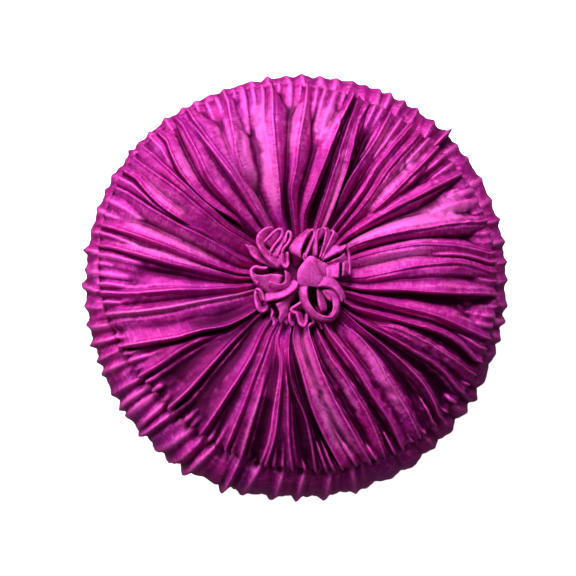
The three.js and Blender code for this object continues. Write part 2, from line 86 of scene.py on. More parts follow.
# The long folds of the face. Each row has the fold's angle where it crosses each circle of
# REACHES, its height, the reach at which it rises out of its neighbours, and the side on which it
# is steep: 1 towards greater angles, -1 towards smaller ones.
REACHES = [57, 80, 98, 119, 144, 174]
FOLDS = [
    ([18.5, 17.6, 16.4, 14.3, 11.2, 7], 8, 0, 0.5),
    ([31.6, 27.5, 25, 22.2, 19.9, 17.3], 12, 0, -0.3),
    ([42.5, 39.7, 37.9, 36.2, 34.6, 33.2], 9, 0, -0.9),
    ([46, 43.5, 42.7, 42.7, 43, 43.7], 7, 85, -0.3),
    ([49.6, 49.6, 50.2, 51, 51.2, 50.8], 8, 0, -0.6),
    ([54.5, 54.2, 54.1, 54.8, 54.6, 53.5], 9, 0, 0.4),
    ([61, 62.5, 63, 62, 61, 61], 9, 70, 0.6),
    ([65.8, 66.1, 67, 68.4, 69.8, 69.1], 10, 0, -1),
    ([71.5, 71.8, 72, 72, 71.9, 71.8], 8, 0, 0.8),
    ([88.4, 82.5, 80, 77.8, 76.1, 74.2], 12, 0, -0.6),
    ([95.2, 95.8, 92.4, 90.5, 89, 87.8], 11, 0, 0.5),
    ([109, 104.8, 103, 101.4, 100.5, 98.9], 12, 0, -0.6),
    ([119, 119.5, 119.5, 118, 114.8, 112.5], 8, 95, 0.3),
    ([123.5, 122.3, 121.9, 122.3, 123, 123.8], 9, 0, 0.8),
    ([133, 133, 133.2, 132.5, 129.5, 127.7], 9, 0, 0.6),
    ([137.5, 137.8, 140, 140, 138.3, 134], 8, 70, 1),
    ([143.7, 144.4, 143, 142.1, 141.6, 140.5], 10, 0, -0.8),
    ([147.5, 148, 146.5, 145.6, 145, 144.5], 7, 0, -0.5),
    ([153, 153, 153.5, 153.5, 151.9, 148.5], 8, 110, 1),
    ([164.8, 159.8, 158.2, 157, 156, 154.3], 10, 0, -0.7),
    ([175, 171.2, 168.7, 166.6, 165.7, 164.8], 11, 0, 0.9),
    ([179.5, 176.5, 174.6, 172.9, 171.5, 170.6], 10, 0, 1),
    ([190, 188, 187, 186.2, 185.8, 184.6], 10, 0, -0.3),
    ([195.9, 194.5, 193.4, 192.9, 192.3, 190.8], 12, 0, 0),
    ([215, 212, 208, 205.7, 202.5, 200.5], 12, 0, 1),
    ([218.5, 216, 212.5, 211.2, 211.2, 211.4], 8, 95, 0.3),
    ([221.5, 222.5, 223.5, 224.2, 224.7, 224.4], 11, 0, 0.6),
    ([233.5, 237, 237.7, 237.7, 237.6, 236.8], 12, 0, 0.5),
    ([240.9, 243.6, 244.3, 245.2, 246, 246.4], 11, 0, 0.4),
    ([246, 249.5, 250.2, 250.7, 251, 251.7], 9, 100, 0.4),
    ([250.5, 257.5, 259, 259.7, 260.3, 258.7], 10, 65, 0.4),
    ([254, 259.5, 262.6, 264, 265.6, 267.5], 8, 85, 0.4),
    ([258, 261.5, 265.5, 270.5, 273, 274.4], 11, 0, 0.5),
    ([264, 270, 273.1, 276, 279, 282.8], 12, 0, -1),
    ([277, 280.5, 283, 285.5, 288, 290.2], 12, 0, 0.3),
    ([287, 290, 293.5, 295, 295.6, 295], 8, 0, 0),
    ([296.7, 299.6, 301, 301.4, 301.7, 301], 12, 0, -0.7),
    ([313, 313.5, 312.7, 310, 308.5, 306.5], 7, 60, 0.3),
    ([319, 319.5, 319.9, 319.6, 318.4, 314.7], 10, 0, 0.4),
    ([323.4, 325, 326.4, 327, 327.3, 324.8], 11, 0, -0.8),
    ([327, 330, 332, 332.5, 332, 330.6], 8, 85, 0),
    ([330.3, 335.2, 337, 338.3, 338.7, 335], 11, 0, -1),
    ([342, 343.5, 344.1, 344.4, 343.6, 342.1], 10, 0, -0.5),
    ([350.1, 352.5, 353.4, 354, 354.7, 355.4], 12, 0, -1),
    ([360, 363.6, 365, 365.8, 365.5, 361.5], 8, 0, -0.2),
]
FOLD_COUNT = len(FOLDS)

# Folds with a second, lower crest beside the first: the fold's number and the turn between them.
TWINS = [(13, 1.4), (27, 1.3), (30, -1.5), (5, 1.2)]
TWIN_HEIGHT = 2.2
TWIN_HALF = 1.3

# Short folds that gather the rim: about how far apart they are, how their length varies, and the
# ranges of their height, of how steep they are, and of how far they stray, as a share of a gap.
RIM_SPACING = 9.5
RIM_LENGTHS = [0.5, 0.8, 1, 1.5, 2.2]
RIM_HEIGHT, RIM_STEEP, RIM_STRAY = (6, 10), (-0.8, 0.8), (-0.22, 0.22)

# Fine folds that come and go between the long ones: how many there are, and the ranges of their
# height, their half width, their length and how far from the seam they begin.
FINE_FOLDS = 190
FINE_HEIGHT = (-1.3, 1.9)
FINE_HALF = (1, 2.1)
FINE_RUN = (18, 70)
FINE_BEGIN = (0, 150)
# How softly they begin and end, in mm.
FINE_FADES = (12, 14)

# How the face's folds change round the outline: how full the cloth is between two creases (2 is a
# round lobe, 1 a straight slope, less a hollow one), how deep the creases are, the height and half
# width in mm of the rolled edge along each crest, the usual length in mm of the short folds at the
# rim, how much of the fine folds is felt, and how much deeper the creases are near the middle.
FACE_STYLE_AT = [0, 25, 60, 95, 130, 170, 200, 235, 265, 290, 320, 345, 360]
FACE_STYLES = [
    (2, 0.7, 1.3, 1.2, 40, 0.6, 0.4), (2.4, 0.7, 1.4, 1.2, 45, 0.6, 0.3),
    (1.6, 0.85, 1.5, 1.2, 35, 0.7, 0.8), (1.8, 0.8, 1.1, 1.2, 35, 0.3, 0.3),
    (1.9, 0.8, 1.2, 1.3, 30, 0.25, 0.2), (1.6, 0.7, 1.8, 1.6, 22, 0.3, 0.2),
    (1.2, 0.5, 3.2, 2.2, 12, 0.3, 0.3), (1, 0.4, 3.4, 2, 10, 0.2, 0.3),
    (1, 0.8, 3, 1.4, 12, 0.2, 0.6), (1.15, 1.1, 2.5, 1.1, 16, 0.2, 0.8),
    (1.15, 1, 2.6, 1.1, 20, 0.3, 0.8), (1.5, 0.85, 1.9, 1.2, 30, 0.6, 0.6),
    (2, 0.7, 1.3, 1.2, 40, 0.6, 0.4),
]

# The shape of a fold of the face. A crease is as deep as a share of the gap between two tops and a
# part that is always there, within limits, and its tops and bottoms are shares of that depth.
DEPTH_SHARE, DEPTH_ALWAYS, DEPTH_LIMITS = 0.3, 3.2, (3, 9.5)
TOP_SHARE, BOTTOM_SHARE = 0.225, 0.55
# How far a steep side draws its crease in, as a share of the gap, and how much straighter it is.
CREASE_SHIFT = 0.26
STEEP_STRAIGHTER = 0.35
# The creases grow deeper inside the first of these reaches and are as usual past the second.
INNER_REACHES = (62, 118)
# Folds swing to and fro over SWING_LENGTH, and swell: by how much, over what length, and how often
# their phase is counted.
SWING_LENGTH = 11
SWELLS = [(0.14, 14, 1), (0.1, 33, 2)]
# Near a tight seam the folds are lower by CALM, over CALM_LENGTH, and no less full than RIM_FULL.
CALM, CALM_LENGTH = 0.6, 26
RIM_FULL, RIM_FULL_FROM_TO = 2.2, (4, 16)
# How deep a fold lies under its neighbours where it isn't there yet, and how many mm before and
# after its start it takes to rise.
SUNK, RISE = 9, 15
# How much the folds differ: the ranges of their swing in degrees, of the places of their creases,
# as a share of the gap, and of their depth.
SWING, CREASE_STRAY, DEPTH_STRAY = (0.05, 0.22), (-0.1, 0.1), (0.8, 1.2)
# Rolled edges grow wider and higher with the reach, from ROLL_LEAST of their size to all of it at
# ROLL_ALL_AT, and those of the short folds at the rim are a little lower.
ROLL_LEAST, ROLL_ALL_AT, ROLL_GROWTH, RIM_ROLL = 0.45, 130, 0.7, 0.9
# The crease beside a crest: how far off it is and how wide, in half widths of the rolled edge.
GROOVE_AT, GROOVE_HALF = 2.1, 0.8
# How far a fold leans over its steep side.
LEAN = 1.4
# How smoothly one fold runs into the next, and how round the tops are.
BLEND = 0.4
TOP_ROUND = 0.7

# Patches of painted highlight and painted shade between the folds: a place, counted in folds, the
# half width of the patch in folds, the reach at which it begins and ends, and how much painted
# highlight, above 0, or painted shade, below 0, it gets.
PAINTED_LIGHT_PATCHES = [
    (44.55, 0.3, 60, 120, 0.7), (0.35, 0.3, 80, 130, 0.6), (0.8, 0.15, 60, 110, -0.7),
    (1.4, 0.35, 55, 165, 1), (1.9, 0.1, 80, 160, -0.6), (2.5, 0.35, 115, 170, -0.4),
    (3.5, 0.35, 85, 165, 0.8), (4.5, 0.2, 60, 165, -0.6), (5.5, 0.3, 50, 110, -0.6),
    (5.7, 0.3, 130, 165, 0.5), (6.5, 0.4, 75, 145, -1), (7.4, 0.35, 50, 110, 0.9),
    (7.5, 0.3, 110, 150, 0.4), (8.5, 0.4, 50, 170, -0.8), (9.5, 0.35, 60, 125, -0.5),
    (9.35, 0.3, 130, 160, 0.9), (10.5, 0.4, 48, 90, -0.7), (10.35, 0.35, 115, 165, 0.9),
    (11.3, 0.3, 70, 165, 0.8), (11.75, 0.2, 50, 150, 0.6), (11.52, 0.08, 60, 150, -0.5),
    (12.5, 0.4, 50, 160, 0.5), (12.9, 0.12, 60, 170, -0.6), (13.5, 0.35, 60, 160, 0.25),
    (14.3, 0.2, 90, 130, -0.4), (14.6, 0.3, 130, 165, 0.6), (15.5, 0.5, 55, 100, -0.8),
    (17.4, 0.35, 60, 110, -0.3), (17.6, 0.3, 120, 165, 0.6), (18.6, 0.3, 80, 170, -0.5),
    (19.6, 0.3, 80, 165, 0.6), (19.95, 0.08, 90, 165, -0.7), (20.5, 0.35, 80, 165, 0.8),
    (21.3, 0.2, 100, 150, -0.6), (22.5, 0.35, 70, 160, -0.5), (23, 0.15, 50, 170, 0.9),
    (23.5, 0.3, 60, 140, -0.4), (24.1, 0.15, 110, 165, 0.7), (23.75, 0.2, 45, 110, -0.8),
    (24.5, 0.4, 50, 150, -0.6), (25.5, 0.45, 50, 185, -0.85), (26.5, 0.45, 45, 185, -0.85),
    (27.5, 0.3, 90, 180, -0.6), (20.9, 0.1, 60, 120, -0.6),
    (28.5, 0.35, 55, 110, 0.3), (28.9, 0.12, 110, 160, 0.8), (29.5, 0.4, 70, 180, -0.9),
    (30.6, 0.3, 90, 180, -0.5), (31.7, 0.4, 80, 170, -0.9), (32.6, 0.4, 75, 170, -1),
    (33.5, 0.35, 50, 160, 1.2), (34.3, 0.3, 60, 150, -0.6), (34.75, 0.2, 80, 130, 0.5),
    (35.5, 0.4, 90, 180, -0.7), (36.3, 0.4, 50, 120, 0.1), (36.9, 0.25, 80, 150, 0.6),
    (37.7, 0.35, 80, 180, -0.8), (38.5, 0.35, 70, 180, -0.8), (39.4, 0.3, 80, 175, -0.7),
    (39.9, 0.2, 90, 150, 0.5), (40.5, 0.3, 110, 180, -0.9), (41.5, 0.3, 60, 150, -0.2),
    (42.4, 0.35, 70, 160, -0.1), (42.85, 0.15, 90, 150, -1), (43.5, 0.3, 60, 150, 0.1),
]
# How softly a patch begins and ends, in mm.
PAINTED_LIGHT_FADE = 12
# How strong the painted highlight on crests is on the face and on the band, and how strong the
# painted shade on steep sides is.
FACE_CREST_HIGHLIGHT, BAND_CREST_HIGHLIGHT, WALL_SHADE = 0.8, 1.1, 0.55
# Crests, which get painted highlights, are found against the mean of so many columns on either
# side, at this height in mm, and creases, which get painted shade, likewise.
CREST_COLUMNS, CREST_HEIGHT = 2, 0.9
CREASE_COLUMNS, CREASE_HEIGHT = 7, 3.4

# Where the velvet is crumpled: the angle, the reach and the size of each patch in the chart.
CRUMPLES = [
    (306, 145, 18), (297, 115, 28), (288, 95, 22), (330, 140, 20), (20, 150, 26),
    (78, 140, 24), (60, 120, 28), (187, 150, 18), (350, 155, 14), (335, 115, 24), (45, 145, 20),
    (110, 140, 20),
]
# Their waves: the share of the crumples' height and how far apart they are, in mm.
CRUMPLE_WAVES = [(1, 9), (0.6, 5)]
# Dents all over, past a share of the seam's radius: their height and how far apart they are.
DENTS_FROM = 0.3
DENTS = [(0.45, 26), (0.22, 9)]

# The tops of the band's folds, as seen round the outline.
BAND_FOLDS = [
    4, 10, 16.5, 22, 29, 35.5, 40.5, 45.5, 49, 54.5, 59.5, 64, 67.5, 71.5, 75.5, 79.5, 84, 89.5,
    94, 99, 104.5, 112.5, 117, 121, 125, 130, 136, 139.5, 143, 151.5, 156.5, 162, 167, 173, 178,
    183, 188.5, 193.5, 198, 202.5, 206, 212, 216, 219, 223, 226, 232.5, 237, 242, 251, 257, 264,
    271, 278, 285, 294, 301, 308, 314, 320.5, 325.5, 330, 338.5, 343, 348, 353, 359,
]

# How the band's folds change round the outline: their height in mm, how full they are as on the
# face, the height of the rolled edge along each top, and how far they slant from seam to seam.
BAND_STYLE_AT = [0, 60, 110, 160, 195, 212, 226, 265, 290, 330, 360]
BAND_STYLES = [
    (1.8, 1.8, 1.6, 3), (1.8, 1.8, 1.7, 3), (2, 2, 1.9, 2), (2, 2, 2.9, 0), (1.8, 2, 4.2, -2),
    (2, 2, 4.2, 5), (2.2, 2, 4.2, -9), (2.2, 2, 4, -10), (4, 2.2, 2, -4), (4, 2.4, 1.2, 2),
    (1.8, 1.8, 1.6, 3),
]
# How much the band's folds differ: the ranges of their slant in degrees, of their creases' places,
# as a share of the gap, of their height and of their rolled edges.
BAND_SLANT_STRAY, BAND_CREASE_AT = (-3.5, 3.5), (0.34, 0.66)
BAND_TALL_STRAY, BAND_ROLL_STRAY = (0.5, 1.35), (0.3, 1.25)
# How far their tops stand and their creases lie, as shares of their height, and how wide the gaps
# between them may be, in mm.
BAND_TOP_SHARE, BAND_BOTTOM_SHARE, BAND_GAP_LIMITS = 0.5, 0.6, (3, 30)
# The half width of the rolled edge, and the crease beside it: how far off, how wide and how deep.
BAND_ROLL_HALF = 2.3
BAND_GROOVE_AT, BAND_GROOVE_HALF, BAND_GROOVE_SHARE = 5.5, 2.4, 0.4
# One fold of the band that stands out on its own: its angle, its height and its half width in mm,
# how far down the band it is and how far it reaches there.
STRAY_FOLD = (44.5, 11, 2, 0.3, 0.22)

# The true outline against the seam's oval: the angle, how far the seam moves out, and how far the
# fullest part of the band does, in mm.
OUTLINE_AT = [0, 25, 45, 60, 90, 115, 140, 165, 185, 205, 225, 245, 270, 295, 320, 340, 360]
OUTLINE = [
    (1, -1.5), (4.5, 4), (2, 10.5), (0.5, 11), (-1, 1.5), (-3, -5), (-0.5, -7), (0, -5),
    (-0.5, -1), (-2, 6), (-5, 14.5), (-2, 12.5), (-1, 4), (-0.5, 0.5), (-2, -4), (-1, -4),
    (1, -1.5),
]

# Rows of the cushion: share of the seam's radius, height, how much of the folds' height is felt,
# and how far the thread pulls the row in, as a share of the seam's radius.
FACE_ROWS = [
    (0, 72, 0, 0), (0.095, 72, 0, 0), (0.13, 75, 0.2, 0), (0.18, 82, 0.6, 0), (0.25, 89.5, 0.9, 0),
    (0.33, 96, 1, 0), (0.42, 101.2, 1, 0), (0.52, 105, 1, 0), (0.62, 106.8, 1, 0),
    (0.72, 106, 1, 0), (0.81, 103.4, 1, 0), (0.885, 99.8, 1, 0), (0.94, 96.3, 1, 0),
    (0.975, 93, 1, 0), (0.994, 89.8, 1, 0), (1, 86.6, 0.9, 0.004), (1.002, 83.6, 0.5, 0.024),
    (1, 82, 0.15, 0.045),
]
BAND_ROWS = [
    (1, 82, 0.15, 0.045), (1.005, 79.8, 0.5, 0.03), (1.015, 80.6, 0.9, 0.01), (1.045, 77.5, 1, 0),
    (1.08, 67.5, 1, 0), (1.09, 52, 1, 0), (1.083, 35, 1, 0), (1.055, 19, 0.8, 0),
    (1.02, 12, 0.5, 0), (1, 9, 0, 0),
]
BACK_ROWS = [
    (1, 9, 0, 0), (0.97, 3.5, 0.5, 0), (0.89, 0, 1, 0), (0.6, 0, 1, 0), (0.34, 0, 0.6, 0),
    (0.15, 3.5, 0, 0), (0, 6, 0, 0),
]
# How tight the thread draws the front seam round the outline: where it is loose, the face's folds
# run over it into the band, and fade out over these shares of the way down.
PINCH_AT = [0, 40, 75, 110, 150, 180, 205, 235, 360]
PINCH = [(1,), (1,), (0.8,), (0.3,), (0.05,), (0.15,), (0.7,), (1,), (1,)]
RUN_OVER = (0.1, 0.6)
# The gathering thread's puckers: how often each wave goes round, how far from the seam they reach,
# and how much deeper than high they are.
PUCKER_COUNTS = (83, 97, 121, 149, 173)
PUCKER_REACH = 5
PUCKER_DEEPER = 1.7
# The small pleats of the back, and their height from floor to hollow.
BACK_PLEATS = 45
PLEAT_HEIGHT = 2.4

# The streaks of the velvet: how much they change round the outline, and their length in mm along
# the folds.
STREAK_TURN, STREAK_LENGTH = 0.2, 105

FACE_RINGS = 88
BAND_RINGS = 42
BACK_RINGS = 18
# How much closer together rows lie near the front seam, on the face and on the band.
FACE_CROWDING, BAND_CROWDING = 1.35, 0.1
COLUMNS_PER_FOLD = 26
COLUMNS = FOLD_COUNT * COLUMNS_PER_FOLD
# How much closer together the columns are on the crests than in the creases.
COLUMN_WARP = 0.45
# How often each column is moved towards its own place among the folds.
COLUMN_ROUNDS = 7
# The face is worked out some rows at a time, which saves memory.
ROW_BLOCKS = 11

# The folds of the rosette's strip, in steps of the chart: the line of the folded edge, the line
# where the strip goes down out of sight, how thick the puffed strip is in mm, and the heights of
# both.
STRIP_FOLDS = [
    # Upper left: three hairpins and what shows below them.
    ([(-28, 51), (-37, 49), (-43.5, 43), (-45, 36.5), (-42.5, 29), (-37, 21), (-30, 13.5),
     (-23, 9)], [(-26, 45), (-31, 42), (-35, 38), (-37, 34), (-35.5, 28), (-31, 21.5), (-25, 16),
     (-19, 12)], 3.4, 108, 102),
    ([(-31, 24), (-27, 31), (-21, 38), (-18, 44), (-19, 47.5), (-22, 48.5), (-27, 46), (-33, 40),
     (-38, 35)], [(-30, 26), (-27.5, 30), (-24, 36), (-21.5, 41), (-21, 43), (-22, 43),
     (-25, 40), (-28, 36), (-31, 31)], 2.6, 110, 99),
    ([(-38, 35), (-33, 40), (-28, 44.5), (-22, 47.5)], [(-31, 29), (-27, 35), (-23.5, 40.5),
     (-20, 44.5)], 2.4, 108, 104),
    ([(-34, 27), (-29, 25), (-24, 22.5), (-19, 22)], [(-32, 19), (-27, 15), (-22, 12),
     (-16, 10)], 2.6, 105, 102),
    ([(-57, 33), (-53, 28), (-50, 21.5), (-45, 17), (-37, 13), (-29, 9.5), (-20, 8)], [(-48, 31),
     (-45, 27), (-42, 23), (-38, 19), (-33, 16), (-27, 13), (-19, 11)], 2.8, 99, 95),
    ([(-15, 41), (-17, 34), (-20, 27), (-23, 19)], [(-19, 41), (-23, 34), (-27, 27), (-29, 19)],
     2.6, 107, 103),
    ([(-17, 33), (-15.5, 40), (-14, 44.5), (-12.5, 46), (-10.5, 44.5), (-9.8, 41), (-11.5, 36),
     (-15, 31), (-18.5, 27), (-19, 23.5)], [(-15.5, 33), (-14, 38), (-12.7, 42), (-12.5, 42.5),
     (-12, 42), (-12, 40), (-13, 36), (-14.5, 32), (-16, 28), (-16, 26)], 2.5, 109, 96),
    ([(-20.5, 25), (-20, 17), (-18, 10), (-14.5, 8), (-12, 11), (-12, 18), (-12.5, 25)],
     [(-17.5, 25), (-17.5, 18), (-16.5, 13), (-15.5, 12), (-14.5, 13), (-14.5, 18), (-15, 25)],
     3, 107, 103),
    # Top: a bright panel, a hairpin and the hook below it.
    ([(11, 46.5), (7, 42), (4, 36), (1.5, 30), (0, 24), (0.5, 18)], [(8, 48), (2, 43.5),
     (-4, 38.5), (-10, 33.5), (-13, 29), (-10, 23)], 2.8, 110, 102),
    ([(-12, 28), (-6, 26), (0, 22)], [(-8, 12), (-3, 11), (0, 12)], 2.6, 103, 92),
    ([(9, 47.5), (12, 47.3), (14, 45), (13.5, 41), (11, 35), (8, 28), (5.5, 22), (5, 18.5)],
     [(9, 45), (10, 44), (10.5, 42), (9.5, 38), (7, 32), (4.5, 26), (3, 21), (2.5, 18)], 2.6,
     110, 97),
    ([(7, 24), (3.5, 23), (2, 20), (3, 17), (6, 16.5), (8, 19)], [(6.5, 21), (5, 21), (4.5, 20),
     (5, 19), (6, 19), (7, 20)], 2.2, 108, 98),
    # Upper right: a fan of pleats out of one root.
    ([(21, 48.5), (18.3, 46.5), (17, 41), (16.5, 35), (16.5, 28), (16, 21)], [(18, 48),
     (15.5, 46), (13.5, 40), (12.3, 33), (12, 26), (13, 19)], 2.6, 110, 105),
    ([(19, 48.3), (22, 48.6), (24, 45), (23.5, 40), (22, 33), (20, 26), (18, 19)], [(24, 48.5),
     (27, 47.5), (28.5, 43), (27.5, 38), (25, 31), (22.5, 25), (19.5, 18.5)], 2.6, 110, 106),
    ([(29, 47.5), (31.5, 46), (29.5, 40), (26.5, 33), (23, 26), (20, 18)], [(34, 44), (36, 40),
     (33, 35), (29, 29), (25, 23), (20.5, 16.5)], 2.8, 109, 104),
    ([(21, 15.5), (27, 18.5), (33, 21.5), (38, 24), (43, 27), (46.5, 31)], [(21, 18), (27, 24),
     (32, 30), (35, 31), (39, 29.5), (45, 32)], 3, 108, 104),
    ([(24, 14), (31, 17), (38, 20), (44, 25)], [(26, 11.5), (32, 12.5), (39, 13.5), (46, 17)],
     2.6, 105, 101),
    ([(13, 21.5), (18, 18), (23, 14.8), (28, 12)], [(18, 6), (20, 3), (23, 0), (27, -1)], 2.6,
     106, 103),
    ([(25, -0.5), (31, -1.5), (38, -1.5)], [(23, 11), (29, 11), (37, 13)], 3, 107, 104),
    ([(38.5, 15), (38.5, 7), (38, -1.5)], [(32, 13), (31.5, 6), (31, 1)], 2.6, 108, 103),
    ([(42, 15), (41.5, 8), (41, 0.5)], [(48, 18), (49.5, 10), (48.5, 1)], 2.8, 107, 98),
    ([(46.5, 30), (49, 24), (50, 16), (50, 8), (49, 1)], [(42, 26), (43.5, 21), (45, 15),
     (45.5, 8), (45, 2)], 2.6, 104, 96),
    # Left: a bowl with a bright lip, and a band that sweeps below it.
    ([(-33, 9.5), (-40, 9.5), (-47, 10.5), (-50.3, 7.5), (-50, 2), (-47.5, -3), (-43, -8)],
     [(-33, 5), (-39, 5), (-44, 5), (-46, 4), (-46, 1), (-44, -2), (-40, -6)], 3.2, 104, 94),
    ([(-48, 3), (-42, 2), (-36, 2), (-30, 3), (-24, 3), (-18, 1.5)], [(-47, -5), (-41.5, -9.5),
     (-36, -13), (-31, -16), (-27, -16.5), (-23, -16)], 2.8, 104, 99),
    ([(-17, 7), (-16, 2), (-16, -3), (-18, -6), (-22, -7), (-28, -5), (-32, -3.5)], [(-12, 4),
     (-11.5, -2), (-12, -7), (-16, -11), (-22, -12), (-28, -11), (-33, -8)], 3, 107, 103),
    ([(-2, -5), (-4, -11.5), (-10, -17), (-18, -21.5), (-28, -24), (-36, -25.5)], [(-8, -3),
     (-10, -9), (-15, -13.5), (-22, -16.5), (-30, -17.5), (-36, -17.5)], 3.4, 108, 105),
    ([(-45, -11), (-40.5, -13), (-37.5, -18), (-36, -24)], [(-47, -14), (-43.5, -17), (-41, -21),
     (-39, -25)], 2.8, 104, 96),
    ([(-46, -12), (-46.5, -20), (-45, -28), (-43, -33), (-39, -35.5), (-35, -34), (-31.5, -29)],
     [(-40, -16), (-40, -21), (-40, -26), (-39.5, -29), (-38, -30), (-36.5, -29), (-35, -26)], 3,
     101, 90),
    # Bottom: a broad panel and small frills.
    ([(-26, -27), (-23, -32), (-21.5, -37), (-22.5, -42), (-20, -47)], [(-4, -14), (-7, -19),
     (-11, -25), (-13, -32), (-14, -40)], 2.8, 105, 99),
    ([(-31, -30), (-29, -35), (-30, -40), (-27.5, -45), (-28.5, -49)], [(-26, -31), (-25.5, -36),
     (-26, -40), (-24, -44), (-24, -47)], 2.4, 100, 91),
    ([(-17, -33), (-15, -38), (-17, -43), (-14, -48)], [(-12, -33), (-11, -38), (-12, -42),
     (-10, -46)], 2.4, 101, 92),
    ([(1, -24), (-6, -28.5), (-11, -33), (-9.5, -35), (-5.5, -36.5), (-3.5, -42), (-1, -48),
     (3, -50), (5.5, -45), (6, -37)], [(3, -29), (0, -32), (-3, -33.5), (-2, -35), (0, -37),
     (1, -41), (2, -44), (3.5, -44.5), (4, -42), (4.5, -36)], 2.6, 105, 95),
    ([(-11, -35), (-12.5, -40), (-11.5, -46), (-8, -49.5)], [(-8, -36), (-8.5, -40), (-8, -44),
     (-5, -46)], 2.4, 101, 92),
    ([(6, -34), (8.5, -40), (12, -45.5), (9, -47), (5, -50)], [(9, -36), (12, -40), (14.5, -44),
     (12, -48), (8, -50)], 2.6, 102, 94),
    ([(14, -42), (17.5, -47), (21, -53)], [(19, -42), (22.5, -46), (25, -51)], 2.6, 99, 91),
    ([(40, -30), (38, -36), (33, -42), (27, -46)], [(36, -28), (34, -34), (30, -39), (25, -43)],
     2.6, 100, 91),
    # The rosebud coil: its outer lip, the lip over it, and the coil inside.
    ([(7, -9), (6.5, -17), (8, -24), (12, -31), (18, -36.5), (25, -39), (30, -38.5), (34, -33)],
     [(-1, -8), (-0.7, -16), (1, -23.5), (5, -32), (12, -39.5), (21, -43.5), (30, -42),
     (37, -34)], 3.4, 110, 106),
    ([(15.5, -10), (16, -19), (17, -28), (20, -35)], [(21, -12), (22.5, -20), (24, -27),
     (25, -34)], 3, 106, 101),
    ([(20, -13.5), (26, -17), (30, -22), (31.5, -28), (30.5, -35), (27, -39)], [(28, -10),
     (33, -12), (36.5, -17), (37.5, -26), (36, -34), (31, -41)], 3.2, 107, 105),
    ([(20.5, -15), (25, -21), (29.5, -25)], [(23, -11.5), (30, -12), (34, -15)], 2.6, 106, 104),
    ([(16, -10), (24, -10.5), (30, -11.5), (34.5, -14.5), (38.5, -20), (40.5, -25)], [(20, -1),
     (27, -1), (33.5, -4), (38.5, -11), (42, -18), (43, -25)], 3.6, 111, 106),
]
# The petal: its edge and its root in the chart, its height, how far it is puffed up, and its tilt.
PETAL_EDGE = [
    (-4, 0), (-3.2, 6), (2, 14), (9.5, 20.6), (12.5, 20.2), (17, 10.5), (20, 2.5), (22.5, -4),
    (19, -9.5), (9, -9), (-1, -8),
]
PETAL_ROOT = (8, 2)
PETAL_HEIGHT = 111
PETAL_PUFF = 1.6
PETAL_TILT = 0.1
# The distance between the gathers at the foot of the strip, in mm.
GATHER_PITCH = 4.6
# From its folded edge, at fall 0, the strip goes over a crown that stands this many mm above the
# line to the bend, down to the bend, and to its root, at fall 1, drawn in by a share of the way to
# the middle.
CROWN_FALL, BEND_FALL = 0.3, 0.6
CROWN_RISE, ROOT_DRAWN_IN = 1.2, 0.2
# The rows of the strip lie closer together round its folded edge.
FALLS = np.concatenate([np.linspace(0, 0.12, 6), np.linspace(0.18, 1, 12)])
# The folded edge rises and falls by this much over this length, in mm.
EDGE_WAVE, EDGE_WAVE_LENGTH = 0.4, 13
# How much thinner the strip is at its root, and how long its rounded ends are, in thicknesses.
ROOT_THINNER, END_ROUND = 0.3, 0.7
# The rings and the segments of the rosette's core, and its outline from below: radius and height.
CORE_RINGS = 24
CORE_SEGMENTS = 96
CORE_PROFILE = [(0, 72.3), (17, 72.5), (25, 78), (24, 86), (15, 91), (0, 92)]
# Its gathers: each wave's depth as a share of the radius, how often it goes round, and its start.
CORE_WAVES = [(0.06, 23, 0), (0.04, 37, 1)]

# The soft lights: how wide each is, where it stands and what it is aimed at, in metres.
KEY_LIGHT = (0.8, (-0.3, 1.1, 1.3), (0, 0, 0.08))
SIDE_LIGHT = (0.6, (-1.4, 0.45, 0.85), (0, 0, 0.06))
# What the camera looks at, and how far the pillow stands to the right and up of that, in metres.
VIEW_MIDDLE = np.array([0, 0, 0.045])
VIEW_RIGHT, VIEW_UP = 0.007, 0.0052
CAMERA_LENS = 100
FLOOR_WIDTH = 8
FLOOR_GLOW = 0.92


def share_setting(name, description, default, largest):
    return FloatProperty(
        name=name, description=description, default=default, min=0, max=largest, subtype="FACTOR"
    )


def length_setting(name, description, default, smallest, largest):
    return FloatProperty(
        name=name, description=description, default=default, min=smallest, max=largest,
        unit="LENGTH", subtype="DISTANCE",
    )


def colour_setting(name, description, default):
    return FloatVectorProperty(
        name=name, description=description, default=default, min=0, max=1, size=3,
        subtype="COLOR",
    )


def power_setting(name, description, default):
    return FloatProperty(
        name=name, description=description, default=default, min=0, unit="POWER"
    )


class CushionSettings(bpy.types.PropertyGroup):
    """Sizes of the cushion's folds."""

    fold_share: share_setting(
        "Face fold height", "Height of the face's folds against the charted one", 1, 2
    )
    band_fold_share: share_setting(
        "Band fold height", "Height of the band's folds against the charted one", 1, 2
    )
    pucker_height: length_setting(
        "Seam puckers", "Height of the small gathers along the front seam", 0.0015, 0, 0.01
    )
    crumple_height: length_setting(
        "Crumples", "Height of the crumples in the velvet", 0.0008, 0, 0.005
    )
    fill: share_setting("Fill", "How tightly the cushion is filled", 0.75, 1)


class VelvetSettings(bpy.types.PropertyGroup):
    """Colours of the velvet."""

    magenta: colour_setting("Magenta", "Main colour of the velvet", (0.47, 0.003, 0.25))
    violet: colour_setting(
        "Violet", "Colour where the pile is brushed the other way", (0.36, 0.004, 0.34)
    )
    # Pale is also the colour of the painted highlights, on crests and in the light patches.
    pale: colour_setting("Pale", "Colour where the pile is crushed flat", (0.74, 0.12, 0.5))
    sheen: colour_setting("Sheen", "Colour of the gloss and the pile's sheen", (1, 0.19, 0.7))


class RosetteSettings(bpy.types.PropertyGroup):
    """Sizes of the rosette's strip."""

    puff: share_setting("Puff", "Thickness of the puffed strip against the charted one", 1, 2)
    gathers: length_setting(
        "Gathers", "Height of the gathers at the strip's foot", 0.0007, 0, 0.003
    )
    spacing: length_setting(
        "Spacing", "Distance between points along a loop's edge", 0.0011, 0.0005, 0.005
    )


